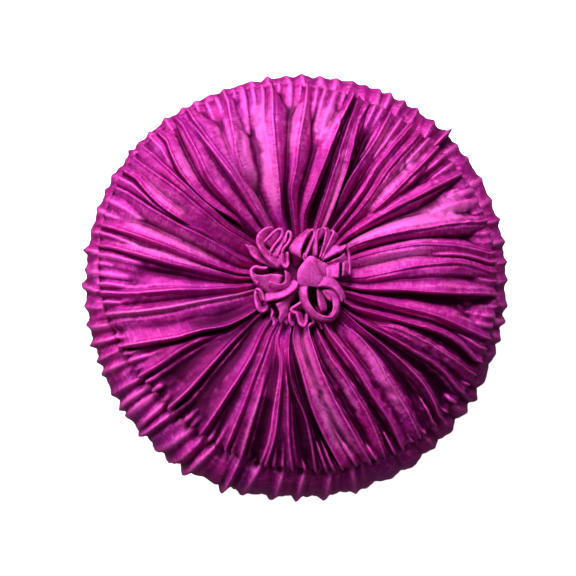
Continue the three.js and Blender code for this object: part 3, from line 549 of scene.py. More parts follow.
class StitchSettings(bpy.types.PropertyGroup):
    """The gathering thread's stitches in the front seam."""

    pitch: length_setting("Pitch", "Distance from stitch to stitch", 0.0065, 0.002, 0.05)
    length: length_setting("Length", "Length of one stitch", 0.004, 0.001, 0.05)
    thread: length_setting("Thread", "Thickness of the thread", 0.0008, 0.0003, 0.005)


class StageSettings(bpy.types.PropertyGroup):
    """The floor, the lights and the camera."""

    floor_colour: colour_setting("Floor", "Colour of the floor", (0.9, 0.9, 0.9))
    key_power: power_setting("Key light", "Power of the soft light from the top", 42)
    side_power: power_setting("Side light", "Power of the low soft light from the left", 15)
    sky_strength: share_setting("Sky", "Strength of the even light from all round", 0.15, 10)
    camera_distance: length_setting(
        "Camera distance", "Distance from the camera to the pillow", 1.5, 0.5, 10
    )


def smooth_step(value, low, high):
    share = np.clip((value - low) / (high - low), 0, 1)
    return share * share * (3 - 2 * share)


def between(value, begin, end, fade_in, fade_out):
    """1 from begin to end and 0 outside, with soft changes of the given half widths."""
    return smooth_step(value, begin - fade_in, begin + fade_in) * (
        1 - smooth_step(value, end - fade_out, end + fade_out)
    )


def hump(distance, half):
    return np.exp(-((distance / half) ** 2))


def smooth_curve(knots, values, at):
    """Values at places between the knots, with no corner at a knot."""
    knots = np.asarray(knots, float)
    values = np.asarray(values, float)
    slopes = np.gradient(values, knots, axis=0)
    at = np.clip(at, knots[0], knots[-1])
    low = np.clip(np.searchsorted(knots, at, side="right") - 1, 0, len(knots) - 2)
    gap = knots[low + 1] - knots[low]
    share = (at - knots[low]) / gap
    more = (1,) * (values.ndim - 1)
    gap, share = gap.reshape(gap.shape + more), share.reshape(share.shape + more)
    return (
        (2 * share**3 - 3 * share**2 + 1) * values[low]
        + (share**3 - 2 * share**2 + share) * gap * slopes[low]
        + (3 * share**2 - 2 * share**3) * values[low + 1]
        + (share**3 - share**2) * gap * slopes[low + 1]
    )


def turn_between(angle, other):
    return (angle - other + 180) % 360 - 180


def folds_between(place, other):
    """How many folds one place is past another, the shorter way round."""
    return (place - other + FOLD_COUNT / 2) % FOLD_COUNT - FOLD_COUNT / 2


def arc_between(angle, other, reach):
    """The way from one angle to another along a circle, in mm."""
    return np.radians(turn_between(angle, other)) * reach


def charted(points):
    """The angle in degrees and the reach at which points are seen from the pole of the charts."""
    at = np.stack([points @ SIGHT_RIGHT, points @ SIGHT_UP], axis=-1) - POLE
    return np.degrees(np.arctan2(at[..., 1], at[..., 0])), np.hypot(at[..., 0], at[..., 1])


def unseen(places, heights):
    """The points of the given heights that are seen at places in the charts."""
    x = (places[..., 0] + POLE[0] - SIGHT_RIGHT[2] * heights) / SIGHT_RIGHT[0]
    y = (places[..., 1] + POLE[1] - SIGHT_UP[0] * x - SIGHT_UP[2] * heights) / SIGHT_UP[1]
    return np.stack([x, y, heights + 0 * x], axis=-1)


def fold_angles(reach):
    """The angles of all long folds at some reaches."""
    courses = np.array([fold[0] for fold in FOLDS], float).T
    return smooth_curve(REACHES, courses, np.asarray(reach, float))


def relu(value):
    return np.maximum(value, 0)


def full_lobes(distance, top, bottom, before, after, full):
    """The highest of some lobes, each falling from its top to a crease on either side."""
    width = np.where(distance < 0, before, after) + 0.01
    rounded = np.hypot(distance, TOP_ROUND) - TOP_ROUND
    lobes = top - (relu(top) + bottom) * np.minimum(rounded / width, 3) ** full
    return BLEND * np.log(np.exp(lobes / BLEND).sum(axis=-1) + 1e-9)


def rolled_edge(distance, half):
    """A round roll along a crest, from 1 on top to 0 beside it."""
    return np.exp(-(((distance / half) ** 2) ** 1.5))


def shape_of(at, styles, angles):
    """The columns of a table of styles at some angles round the outline."""
    return np.moveaxis(smooth_curve(at, styles, angles % 360), -1, 0)


def plane_waves(x, y, long, rng, count=22):
    """A smooth random field between about -1 and 1, with hills about long mm apart."""
    field = np.zeros_like(x)
    for _ in range(count):
        turn, phase = rng.uniform(0, FULL_TURN, 2)
        pitch = FULL_TURN / (long * rng.uniform(0.7, 1.5))
        field += np.sin(pitch * (x * math.cos(turn) + y * math.sin(turn)) + phase)
    return field / math.sqrt(count)


def all_folds():
    """The long folds and the short ones that gather the rim, in order round the face.

    Each has its place (the long fold before it and the share of the way to the next one), its
    height, its steep side, the reach at which it starts and its length if it only gathers the rim.
    """
    wander = np.random.default_rng(RIM_SEED)
    starts = np.array([fold[0][-1] for fold in FOLDS])
    gaps = np.radians((np.roll(starts, -1) - starts) % 360) * SEAM_RADIUS
    usual = shape_of(FACE_STYLE_AT, FACE_STYLES, starts)[4]
    folds = []
    for i, ((_, height, start, steep), gap) in enumerate(zip(FOLDS, gaps)):
        folds.append((i, height, steep, start, 0))
        extra = max(round(gap / RIM_SPACING) - 1, 0)
        for k in range(extra):
            place = i + (k + 1 + wander.uniform(*RIM_STRAY)) / (extra + 1)
            length = usual[i] * wander.choice(RIM_LENGTHS)
            height, steep = wander.uniform(*RIM_HEIGHT), wander.uniform(*RIM_STEEP)
            folds.append((place, height, steep, 0, length))
    return np.array(folds)


def fine_folds(place, angle, reach, left, wander):
    """The height of the fine folds between the long ones."""
    usual_gap = np.radians(360 / FOLD_COUNT) * reach
    felt_here = shape_of(FACE_STYLE_AT, FACE_STYLES, angle)[5]
    height = np.zeros_like(reach)
    for _ in range(FINE_FOLDS):
        at = wander.uniform(0, FOLD_COUNT)
        begin, run = wander.uniform(*FINE_BEGIN), wander.uniform(*FINE_RUN)
        tall, half = wander.uniform(*FINE_HEIGHT), wander.uniform(*FINE_HALF)
        off = folds_between(place, at) * usual_gap
        felt = between(left, begin, begin + run, *FINE_FADES)
        height += tall * felt * felt_here * hump(off, half)
    return height


def face_folds(place, angle, reach, left):
    """The height and the sideways lean of the face's folds, and their steep sides, where shade is
    painted.

    place counts the long folds round the face, and left is the way along the face to the seam.
    """
    wander = np.random.default_rng(FACE_SEED)
    spots, heights, steep, start, length = all_folds().T
    far, near = reach[..., None], left[..., None]
    first = spots.astype(int)
    share = spots - first
    courses = fold_angles(reach)
    courses = np.concatenate([courses, courses[..., :1] + 360], axis=-1)
    tops = courses[..., first] * (1 - share) + courses[..., first + 1] * share
    phase = wander.uniform(0, FULL_TURN, len(spots))
    swing = wander.uniform(*SWING, len(spots))
    tops = tops + swing * np.sin(far / SWING_LENGTH + phase)

    # How far each fold is there, and the gaps to its neighbours that are.
    shown = np.where(
        length > 0,
        smooth_step(-near, -1.5 * length - 10, -0.25 * length),
        np.where(start > 0, smooth_step(far, start - RISE, start + RISE), 1),
    )
    raw = np.radians((np.roll(tops, -1, axis=-1) - tops) % 360) * far
    after, before = raw, np.roll(raw, 1, axis=-1)
    for _ in range(4):
        after = raw + (1 - np.roll(shown, -1, axis=-1)) * np.roll(after, -1, axis=-1)
        before = np.roll(raw, 1, axis=-1) + (1 - np.roll(shown, 1, axis=-1)) * np.roll(
            before, 1, axis=-1
        )

    full, deep, roll, slim, _, _, inner = shape_of(FACE_STYLE_AT, FACE_STYLES, tops)
    crease = 0.5 - CREASE_SHIFT * relu(steep) + CREASE_SHIFT * relu(-np.roll(steep, -1))
    crease = crease + wander.uniform(*CREASE_STRAY, len(spots))
    deep = deep * (1 + inner * (1 - smooth_step(far, *INNER_REACHES)))
    deep = deep * wander.uniform(*DEPTH_STRAY, len(spots))

    def depth_of(gap):
        return np.clip(DEPTH_SHARE * gap + DEPTH_ALWAYS, *DEPTH_LIMITS) * deep

    # The lobes of cloth from crease to crease.
    waves = 1 + sum(much * np.sin(far / long + times * phase) for much, long, times in SWELLS)
    calm = 1 - CALM * shape_of(PINCH_AT, PINCH, angle)[0] * (1 - smooth_step(left, 0, CALM_LENGTH))
    calm = calm[..., None]
    top = heights / 10 * TOP_SHARE * (depth_of(after) + depth_of(before)) * waves
    top = top * calm * shown - SUNK * (1 - shown)
    distance = arc_between(angle[..., None], tops, far)
    bottom = BOTTOM_SHARE * np.where(distance < 0, depth_of(before), depth_of(after)) * calm
    rounder = 1 - smooth_step(near, *RIM_FULL_FROM_TO)
    full = full + relu(RIM_FULL - full) * rounder
    full = full * (1 - STEEP_STRAIGHTER * relu(np.sign(distance) * steep) * (1 - rounder))
    room_before, room_after = (1 - np.roll(crease, 1)) * before, crease * after
    height = full_lobes(distance, top, bottom, room_before, room_after, full)

    # The rolled edge along each crest, and the crease on its steep side.
    narrowing = np.clip(far / ROLL_ALL_AT, ROLL_LEAST, 1) ** ROLL_GROWTH
    slim = slim * narrowing
    roll = roll * narrowing * shown * waves * np.where(length > 0, RIM_ROLL, 1)
    height += (roll * rolled_edge(distance, slim)).max(axis=-1)
    groove = hump(distance - np.where(steep < 0, -GROOVE_AT, GROOVE_AT) * slim, GROOVE_HALF * slim)
    height -= ((0.4 + 0.4 * np.abs(steep)) * roll * groove).max(axis=-1)

    leaning = hump(distance, 0.3 * np.where(distance < 0, before, after) + 0.5)
    lean = (leaning * shown * steep).sum(axis=-1) * LEAN
    # Where each fold's steep side gets painted shade.
    wide = np.where(steep < 0, room_before, room_after) + 0.5
    aside = hump(distance * np.sign(steep) - 0.6 * wide, 0.45 * wide)
    wall = (np.abs(steep) * shown * aside).max(axis=-1)

    for i, turn in TWINS:
        height += TWIN_HEIGHT * hump(arc_between(angle, courses[..., i] + turn, reach), TWIN_HALF)
    return height + fine_folds(place, angle, reach, left, wander), lean, wall


def band_folds(angle, reach, down):
    """The height and lean of the band's folds, with down from 0 at the front seam to 1 behind."""
    wander = np.random.default_rng(BAND_SEED)
    tops = np.array(BAND_FOLDS, float)
    count = len(tops)
    low = down[..., None]
    tall, full, roll, slant = shape_of(BAND_STYLE_AT, BAND_STYLES, tops)
    slant = slant + wander.uniform(*BAND_SLANT_STRAY, count)
    courses = tops + slant * (low - 0.4) + 0.5 * np.sin(9 * low + wander.uniform(0, 6, count))
    gap = np.radians((np.roll(courses, -1, axis=-1) - courses) % 360) * reach[..., None]
    gap = np.clip(gap, *BAND_GAP_LIMITS)
    crease = wander.uniform(*BAND_CREASE_AT, count)
    distance = arc_between(angle[..., None], courses, reach[..., None])
    before, after = (1 - np.roll(crease, 1)) * np.roll(gap, 1, axis=-1), crease * gap
    tall = tall * wander.uniform(*BAND_TALL_STRAY, count)
    fading = 1 - 0.4 * wander.uniform(0, 1, count) * smooth_step(low, 0.5, 1)
    top, bottom = BAND_TOP_SHARE * tall * fading, BAND_BOTTOM_SHARE * tall
    height = full_lobes(distance, top, bottom, before, after, full)
    roll = roll * fading * wander.uniform(*BAND_ROLL_STRAY, count)
    groove = hump(np.abs(distance) - BAND_GROOVE_AT, BAND_GROOVE_HALF)
    height -= (BAND_GROOVE_SHARE * roll * groove).max(axis=-1)
    height += (roll * np.exp(-np.abs(distance / BAND_ROLL_HALF) ** 1.7)).max(axis=-1)
    at, tall, half, middle, extent = STRAY_FOLD
    stray = rolled_edge(arc_between(angle, at, reach), half) * hump(down - middle, extent)
    lean = (hump(distance, 4) * wander.uniform(-1, 0.6, count)).sum(axis=-1)
    return height + tall * stray, 1.5 * lean


def rows_of(table, rings, ends):
    """Rows between the knots of a table, closer together towards the ends that are named."""
    share = np.linspace(0, 1, rings)
    if ends == "last":
        share = 1 - (1 - share) ** FACE_CROWDING
    if ends == "both":
        share = share - BAND_CROWDING * np.sin(FULL_TURN * share)
    return smooth_curve(np.arange(len(table)), table, share * (len(table) - 1))


def cushion_rows():
    """All rows from the middle of the face to the middle of the back, and the part each is on."""
    face = rows_of(FACE_ROWS, FACE_RINGS, "last")
    band = rows_of(BAND_ROWS, BAND_RINGS, "both")[1:]
    back = rows_of(BACK_ROWS, BACK_RINGS, "neither")[1:]
    part = np.repeat([0, 1, 2], [len(face), len(band), len(back)])
    return np.concatenate([face, band, back]), part


def mean_points(turns, rows, part):
    """The cushion's surface without its folds."""
    oval = SEAM_OVAL * np.cos(2 * (turns - math.radians(SEAM_OVAL_AT)))
    out, fuller = shape_of(OUTLINE_AT, OUTLINE, np.degrees(turns))
    share = rows[:, :1] - rows[:, 3:4] * shape_of(PINCH_AT, PINCH, np.degrees(turns))[0]
    felt = np.clip((share - 0.5) / 0.5, 0, 1)
    radius = (SEAM_RADIUS + oval) * share + out * felt
    radius += (part == 1)[:, None] * relu(share - 1) / 0.09 * fuller
    inward = np.where(part == 0, (1 - np.minimum(rows[:, 0], 1)) ** 2, 0)[:, None]
    x = HUB[0] * inward + radius * np.cos(turns)
    y = HUB[1] * inward + radius * np.sin(turns)
    return np.stack([x, y, np.broadcast_to(rows[:, 1:2], x.shape)], axis=-1)


def column_turns(rows, part):
    """The turn round the axis at which each column crosses each row, and the columns' places."""
    fold = np.repeat(np.arange(FOLD_COUNT), COLUMNS_PER_FOLD)
    step = np.tile(np.arange(COLUMNS_PER_FOLD) / COLUMNS_PER_FOLD, FOLD_COUNT)
    share = step - COLUMN_WARP * np.sin(FULL_TURN * step) / FULL_TURN
    face = np.flatnonzero(part == 0)
    start = np.radians([FOLDS[i][0][-1] for i in fold])
    turns = np.broadcast_to(start, (len(face), COLUMNS)).copy()
    normals = row_normals(rows, part)[face]
    for _ in range(COLUMN_ROUNDS):
        points = mean_points(turns, rows[face], part[face])
        points[..., 2] += CREST_ABOVE_MEAN * normals[:, 1:2]
        angle, reach = charted(points)
        angles = fold_angles(reach)
        here = np.take_along_axis(angles, fold[None, :, None], -1)[..., 0]
        after = np.take_along_axis(angles, ((fold + 1) % FOLD_COUNT)[None, :, None], -1)[..., 0]
        wanted = here + turn_between(after, here) * share
        turns += np.radians(turn_between(wanted, angle))
    rest = np.broadcast_to(turns[-1], (len(rows) - len(face), COLUMNS))
    return np.concatenate([turns, rest]), fold + share


def row_normals(rows, part):
    """The way that folds stand out of each row: how far outwards and how far up."""
    normals = np.zeros((len(rows), 2))
    for kind in (0, 1, 2):
        own = np.flatnonzero(part == kind)
        radius, height = rows[own, 0] * SEAM_RADIUS, rows[own, 1]
        across, down = np.gradient(radius), -np.gradient(height)
        length = np.hypot(across, down) + 1e-9
        normals[own] = np.stack([down / length, across / length], axis=1)
    return normals


def around_mean(field, columns):
    """The mean of a field over some columns on either side."""
    offsets = np.arange(-3 * columns, 3 * columns + 1)
    weights = hump(offsets, columns)
    total = sum(np.roll(field, offset, axis=1) * w for offset, w in zip(offsets, weights))
    return total / weights.sum()


def rough_height(points, part, rows, angle, reach, crumple_height, wander):
    """Dents all over the face and the band, and small crumples in patches of the face."""
    x, y, z = np.moveaxis(points, -1, 0)
    band = (part == 1)[:, None]
    flat = np.where(band, np.arctan2(y, x) * SEAM_RADIUS, x)
    other = np.where(band, z, y)
    rough = (rows[:, :1] > DENTS_FROM) * (part < 2)[:, None]
    height = sum(tall * rough * plane_waves(flat, other, long, wander) for tall, long in DENTS)
    crumpled = sum(
        share * plane_waves(flat, other, long, wander) for share, long in CRUMPLE_WAVES
    ) * crumple_height * (part == 0)[:, None]
    for at, far, size in CRUMPLES:
        away = arc_between(angle, at, far) ** 2 + (reach - far) ** 2
        height += crumpled * np.exp(-away / size**2)
    return height


def painted_light_and_shade(crest, wall, place, reach, part):
    """How much painted highlight, up to 1, or painted shade, down to -1, each point gets:
    highlights on crests, shade on steep sides, and the listed patches of both.
    """
    crests = np.where((part == 1)[:, None], BAND_CREST_HIGHLIGHT, FACE_CREST_HIGHLIGHT)
    pile = crests * np.clip(crest, 0, 1) - WALL_SHADE * wall
    for at, half, begin, end, lie in PAINTED_LIGHT_PATCHES:
        run = between(reach, begin, end, PAINTED_LIGHT_FADE, PAINTED_LIGHT_FADE)
        pile += lie * run * hump(folds_between(place, at), half) * (part == 0)[:, None]
    return np.clip(pile, -1, 1)


@functools.cache
def cushion_points(fold_share, band_fold_share, pucker_height, crumple_height):
    """All points of the cushion in mm, a line for each row, and how the cloth lies at each.

    The last two say how far a point is on a crest, 1, or in a crease, -1, which the material
    paints as highlight and shade, and how much painted highlight, up to 1, or painted shade, down
    to -1, it gets. The cover and its stitches both use them, so they are kept.
    """
    rows, part = cushion_rows()
    turns, place = column_turns(rows, part)
    normals = row_normals(rows, part)
    points = mean_points(turns, rows, part)
    lifted = points.copy()
    lifted[..., 2] += CREST_ABOVE_MEAN * normals[:, 1:2]
    angle, reach = charted(lifted)

    face, band, back = part == 0, part == 1, part == 2
    seam = int(face.sum()) - 1
    steps = np.hypot(np.diff(rows[:, 0]) * SEAM_RADIUS, np.diff(rows[:, 1]))
    along = np.concatenate([[0], np.cumsum(steps)])[:, None] + 0 * turns
    left = along[seam] - along[face]
    height, lean, wall = (np.zeros_like(reach) for _ in range(3))
    for some in np.array_split(np.flatnonzero(face), ROW_BLOCKS):
        height[some], lean[some], wall[some] = face_folds(
            place + 0 * turns[some], angle[some], reach[some], left[some]
        )
    height[face] *= fold_share
    down = np.linspace(0, 1, int(band.sum()) + 1)[1:, None] + 0 * turns[band]
    height[band], lean[band] = band_folds(angle[band], reach[band], down)
    height[band] *= band_fold_share

    # Where the seam is loose, the face's folds run over it into the band.
    pinch = shape_of(PINCH_AT, PINCH, angle)[0]
    over = (1 - pinch[band]) * (1 - smooth_step(down, *RUN_OVER))
    height[band] = height[band] * (1 - over) + height[seam] * over
    lean[band] = lean[band] * (1 - over) + lean[seam] * over
    share = 1 - (1 - rows[:, 2:3]) * np.where(back[:, None], 1, pinch)
    share = np.where(band[:, None] & (along > along[seam] + 25), rows[:, 2:3], share)
    height, lean = height * share, lean * share

    wander = np.random.default_rng(ROUGH_SEED)
    height += rough_height(points, part, rows, angle, reach, crumple_height / MM, wander)
    pucker = sum(
        0.5 * np.sin(count * turns + wander.uniform(0, FULL_TURN)) for count in PUCKER_COUNTS
    )
    pucker = np.where(pucker < 0, PUCKER_DEEPER * pucker, pucker)
    nearness = hump(along - along[seam], PUCKER_REACH) * (part < 2)[:, None]
    height += pucker_height / MM * pucker * nearness * pinch

    # fold and pile both carry painted light: highlights on crests, shade in creases and on steep
    # sides.
    crest = (height - around_mean(height, CREST_COLUMNS)) / CREST_HEIGHT
    hollow = (height - around_mean(height, CREASE_COLUMNS)) / CREASE_HEIGHT
    fold = np.clip(relu(crest) + np.minimum(hollow, 0), -1, 1)
    pile = painted_light_and_shade(crest, wall, place, reach, part)

    across = normals[:, :1] * height
    points[..., 0] += across * np.cos(turns) - lean * np.sin(turns)
    points[..., 1] += across * np.sin(turns) + lean * np.cos(turns)
    points[..., 2] += normals[:, 1:2] * height
    pleats = 0.5 - 0.5 * np.cos(turns[back] * BACK_PLEATS)
    points[back, :, 2] += PLEAT_HEIGHT * pleats * rows[back, 2:3]
    points[..., 2] = relu(points[..., 2])

    wound = FULL_TURN * place / FOLD_COUNT + 0 * turns
    across, down = STREAK_TURN * np.cos(wound), STREAK_TURN * np.sin(wound)
    lay = np.stack([across, down, along / STREAK_LENGTH], axis=-1)
    return points, lay, fold, pile


def deselect_all():
    for piece in bpy.context.selected_objects:
        piece.select_set(False)


def joined(parts):
    """One piece out of many parts, with its place in its mesh."""
    deselect_all()
    for part in parts:
        part.select_set(True)
    bpy.context.view_layer.objects.active = parts[0]
    bpy.ops.object.join()
    bpy.ops.object.transform_apply(location=True, rotation=True, scale=True)
    return bpy.context.active_object


def finish_piece(piece, name, material):
    """Names a finished piece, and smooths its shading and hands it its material."""
    piece.name = name
    piece.data.name = name
    bpy.context.view_layer.objects.active = piece
    piece.select_set(True)
    bpy.ops.object.shade_smooth()
    piece.data.materials.clear()
    piece.data.materials.append(material)
    deselect_all()
    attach(piece, "root")


def keep_values(piece, name, values):
    """Keeps a value or a vector at each point of a piece for its material."""
    vectors = values.ndim == 2
    kept = piece.data.attributes.new(name, "FLOAT_VECTOR" if vectors else "FLOAT", "POINT")
    kept.data.foreach_set("vector" if vectors else "value", values.ravel())


def shaped_grid(points, **cloth):
    """A grid whose points are moved to the given rows of points, in metres.

    Each further table is kept under its name for a material that follows the folds, such as fold,
    which is 1 on a crest and -1 in a crease.
    """
    rows, columns = points.shape[0] - 1, points.shape[1] - 1
    deselect_all()
    bpy.ops.mesh.primitive_grid_add(x_subdivisions=columns, y_subdivisions=rows, size=2)
    piece = bpy.context.active_object
    places = np.empty(len(piece.data.vertices) * 3)
    piece.data.vertices.foreach_get("co", places)
    column = np.rint((places[0::3] + 1) / 2 * columns).astype(int)
    row = np.rint((places[1::3] + 1) / 2 * rows).astype(int)
    piece.data.vertices.foreach_set("co", points[row, column].ravel())
    for name, values in cloth.items():
        keep_values(piece, name, values[row, column])
    piece.data.update()

    # Points that lie on each other are joined and the faces turned out.
    bpy.ops.object.mode_set(mode="EDIT")
    bpy.ops.mesh.select_all(action="SELECT")
    bpy.ops.mesh.remove_doubles(threshold=0.00001)
    bpy.ops.mesh.normals_make_consistent(inside=False)
    bpy.ops.object.mode_set(mode="OBJECT")
    return piece


class Wire:
    """A node's output socket. Python's operators on it add Math nodes."""

    def __init__(self, tree, socket):
        self.tree = tree
        self.socket = socket

    def maths(self, operation, *values):
        node = self.tree.nodes.new("ShaderNodeMath")
        node.operation = operation
        for place, value in enumerate(values):
            feed(self.tree, node.inputs[place], value)
        return Wire(self.tree, node.outputs[0])

    def __add__(self, other):
        return self.maths("ADD", self, other)

    def __radd__(self, other):
        return self.maths("ADD", other, self)

    def __sub__(self, other):
        return self.maths("SUBTRACT", self, other)

    def __rsub__(self, other):
        return self.maths("SUBTRACT", other, self)

    def __mul__(self, other):
        return self.maths("MULTIPLY", self, other)

    def __rmul__(self, other):
        return self.maths("MULTIPLY", other, self)


def feed(tree, socket, value):
    """Links a socket to a wire, or sets it to a plain value."""
    if isinstance(value, Wire):
        tree.links.new(value.socket, socket)
    else:
        socket.default_value = value


class Cloth:
    """A material's node tree, with one method that makes any node but an operator's Math node."""

    def __init__(self, name):
        self.material = bpy.data.materials.new(name)
        self.material.use_nodes = True
        self.tree = self.material.node_tree
        self.shader = self.tree.nodes["Principled BSDF"]

    def node(self, kind, settings=None, output=0, numbered=None, **named):
        """A new node: first its settings, then its sockets by their numbers or names."""
        node = self.tree.nodes.new("ShaderNode" + kind)
        for name, setting in (settings or {}).items():
            setattr(node, name, setting)
        for number, value in (numbered or {}).items():
            feed(self.tree, node.inputs[number], value)
        for name, value in named.items():
            feed(self.tree, node.inputs[name.replace("_", " ")], value)
        return Wire(self.tree, node.outputs[output])

    def kept(self, name, output=2):
        """What the mesh keeps at each point under a name: a value, or a vector from output 1."""
        return self.node("Attribute", {"attribute_name": name}, output)

    def ranged(self, value, low, high, least, most):
        """A value turned from the range low to high into the range least to most."""
        return self.node(
            "MapRange", Value=value, From_Min=low, From_Max=high, To_Min=least, To_Max=most
        )

    def mixed(self, share, first, second):
        """Two colours mixed by the share of the second."""
        sockets = {0: share, 6: first, 7: second}
        return self.node("Mix", {"data_type": "RGBA"}, 2, sockets)

    def surface(self, **named):
        for name, value in named.items():
            feed(self.tree, self.shader.inputs[name.replace("_", " ")], value)
        return self.material


def dimmed(colour, share):
    return [share * channel for channel in colour]


def velvet_material(name, crushed):
    """Stretch velvet: a magenta pile with violet drifts, fine nap and crushed marks, with painted
    highlights on crests and in light patches, and painted shade in creases, on steep sides and in
    dark patches.

    crushed says how strong and how large the marks are, from 0 to 1.
    """
    colours = bpy.context.scene.velvet
    magenta, pale, sheen = colours.magenta, colours.pale, (*colours.sheen, 1)
    cloth = Cloth(name)
    where = cloth.node("TexCoord", output=3)
    drift = cloth.node("TexNoise", Vector=where, Scale=22.0, Detail=3.0)
    mottle = cloth.node(
        "TexNoise", Vector=where, Scale=170.0 / crushed, Detail=5.0, Roughness=0.65, Distortion=1.0
    )
    nap = cloth.node("TexNoise", Vector=where, Scale=1100.0, Detail=2.0, Roughness=0.7)
    streak = cloth.node(
        "TexNoise", Vector=cloth.kept("lay", 1), Scale=70.0, Detail=4.0, Roughness=0.6
    )
    # pile is painted highlight above 0 and painted shade below 0; fold is 1 on crests, -1 in
    # creases.
    pile, fold = cloth.kept("pile"), cloth.kept("fold")
    marks = mottle * 0.5 + streak * 0.5
    # Where pale shows as a painted highlight, mottled by the marks.
    light = pile + mottle * 1.6 + streak * 0.9 - (crushed + 0.25)
    # Where crests get the painted highlight.
    crest = fold + mottle * 0.5 - 0.25
    # Painted shade on steep sides and in dark patches, and painted shade in creases.
    dark = cloth.ranged(pile, -0.88, -0.05, 0.97, 0)
    crease = cloth.ranged(fold, -0.95, -0.05, 0.88, 0)
    # The colour of the painted highlight along crests.
    painted_highlight_colour = [0.8 * m + 0.5 * p for m, p in zip(magenta, pale)]

    # Coats of colour over the magenta, one after the other: the colour and where it shows. The
    # first four are the velvet's own tones; the last four are painted highlights and painted
    # shade.
    coats = [
        (colours.violet, cloth.ranged(drift * 0.7 + mottle * 0.3, 0.45, 0.66, 0, 0.8)),
        (pale, cloth.ranged(marks, 0.51, 0.66, 0, 0.6)),
        (dimmed(magenta, 0.45), cloth.ranged(marks, 0.36, 0.5, 0.7, 0)),
        (dimmed(magenta, 0.45), cloth.ranged(nap, 0.35, 0.65, 0.6, 0)),
        # Painted highlight on crests and in light patches.
        (pale, cloth.ranged(light, 0.1, 0.95, 0, 0.8)),
        # Painted shade on steep sides and in dark patches.
        (dimmed(magenta, 0.07), dark),
        # Painted highlight along crests.
        (painted_highlight_colour, cloth.ranged(crest, 0.1, 0.9, 0, 0.75)),
        # Painted shade in creases.
        (dimmed(magenta, 0.1), crease),
    ]
    base = (*magenta, 1)
    for colour, share in coats:
        base = cloth.mixed(share, base, (*colour, 1))
    relief = mottle * (0.45 * crushed) + nap * 0.25 + streak * (0.06 * crushed)
    return cloth.surface(
        Base_Color=base,
        Roughness=cloth.ranged(mottle * 0.6 + nap * 0.4, 0.3, 0.7, 0.38, 0.58),
        Metallic=cloth.ranged(dark + crease, 0, 0.9, 0.3, 0.9),
        IOR=1.8, Specular_IOR_Level=0.75, Specular_Tint=sheen,
        Sheen_Weight=0.05, Sheen_Roughness=0.4, Sheen_Tint=sheen,
        Normal=cloth.node("Bump", Strength=0.7, Distance=0.002, Height=relief),
    )


def thread_material():
    """Smooth sewing thread, a little darker than the velvet."""
    cloth = Cloth("thread")
    twist = cloth.node("TexNoise", Vector=cloth.node("TexCoord", output=3), Scale=900.0)
    return cloth.surface(
        Base_Color=(*dimmed(bpy.context.scene.velvet.magenta, 0.5), 1), Roughness=0.5,
        Normal=cloth.node("Bump", Strength=0.4, Distance=0.0005, Height=twist),
    )


def seam_stitches(line, settings):
    """The gathering thread's stitches, laid along the line of the front seam, in metres."""
    closed = np.concatenate([line, line[:1]])
    along = np.concatenate([[0], np.cumsum(np.linalg.norm(np.diff(closed, axis=0), axis=1))])
    count = round(along[-1] / settings.pitch)
    middles = smooth_curve(along, closed, (np.arange(count) + 0.5) / count * along[-1])
    parts = []
    for middle, before in zip(middles, np.roll(middles, 1, axis=0)):
        out = turned(middle * [1, 1, 0])
        way = Vector(middle - before)
        bpy.ops.mesh.primitive_uv_sphere_add(
            segments=8, ring_count=6, radius=0.5 * settings.thread,
            location=Vector(middle + out * 0.4 * settings.thread),
            rotation=way.to_track_quat("Z", "Y").to_euler(),
            scale=(1, 1, settings.length / settings.thread),
        )
        parts.append(bpy.context.active_object)
    return joined(parts)


def cushion_shape(settings):
    """What cushion_points gives for the settings in the panel."""
    return cushion_points(
        settings.fold_share, settings.band_fold_share, settings.pucker_height,
        settings.crumple_height,
    )


class PILLOW_OT_cushion(bpy.types.Operator):
    """Build the gathered cushion: face, band and back in one closed cover"""

    bl_idname = "pillow.cushion"
    bl_label = "Cushion"

    def execute(self, context):
        points, lay, fold, pile = cushion_shape(context.scene.cushion)
        points = points * MM
        points[0] = points[0].mean(axis=0)
        points[-1] = points[-1].mean(axis=0)
        points, fold, lay, pile = (
            np.concatenate([rows, rows[:, :1]], axis=1) for rows in (points, fold, lay, pile)
        )
        # fold and pile carry the painted highlights and shade into the material.
        piece = shaped_grid(points, fold=fold, lay=lay, pile=pile)
        finish_piece(piece, "cushion_cover", velvet_material("velvet", 1.0))
        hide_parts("cushion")
        return {"FINISHED"}


class PILLOW_OT_stitches(bpy.types.Operator):
    """Sew the gathering thread's stitches along the front seam"""

    bl_idname = "pillow.stitches"
    bl_label = "Stitches"

    def execute(self, context):
        line = cushion_shape(context.scene.cushion)[0][FACE_RINGS] * MM
        piece = seam_stitches(line, context.scene.stitches)
        finish_piece(piece, "seam_stitches", thread_material())
        return {"FINISHED"}


def charted_line(places, height, shares, closed=False):
    """Points at even shares along a line of the chart, at a height in mm."""
    places = np.array(places, float) * CHART_STEP
    if closed:
        places = np.concatenate([places[-2:], places, places[:3]])
    steps = np.concatenate([[0], np.cumsum(np.hypot(*np.diff(places, axis=0).T))])
    low, high = (steps[2], steps[-3]) if closed else (steps[0], steps[-1])
    return unseen(smooth_curve(steps, places, low + (high - low) * shares), height)


def turned(vectors):
    """Vectors of length 1 that point the same way."""
    return vectors / (np.linalg.norm(vectors, axis=-1, keepdims=True) + 1e-9)


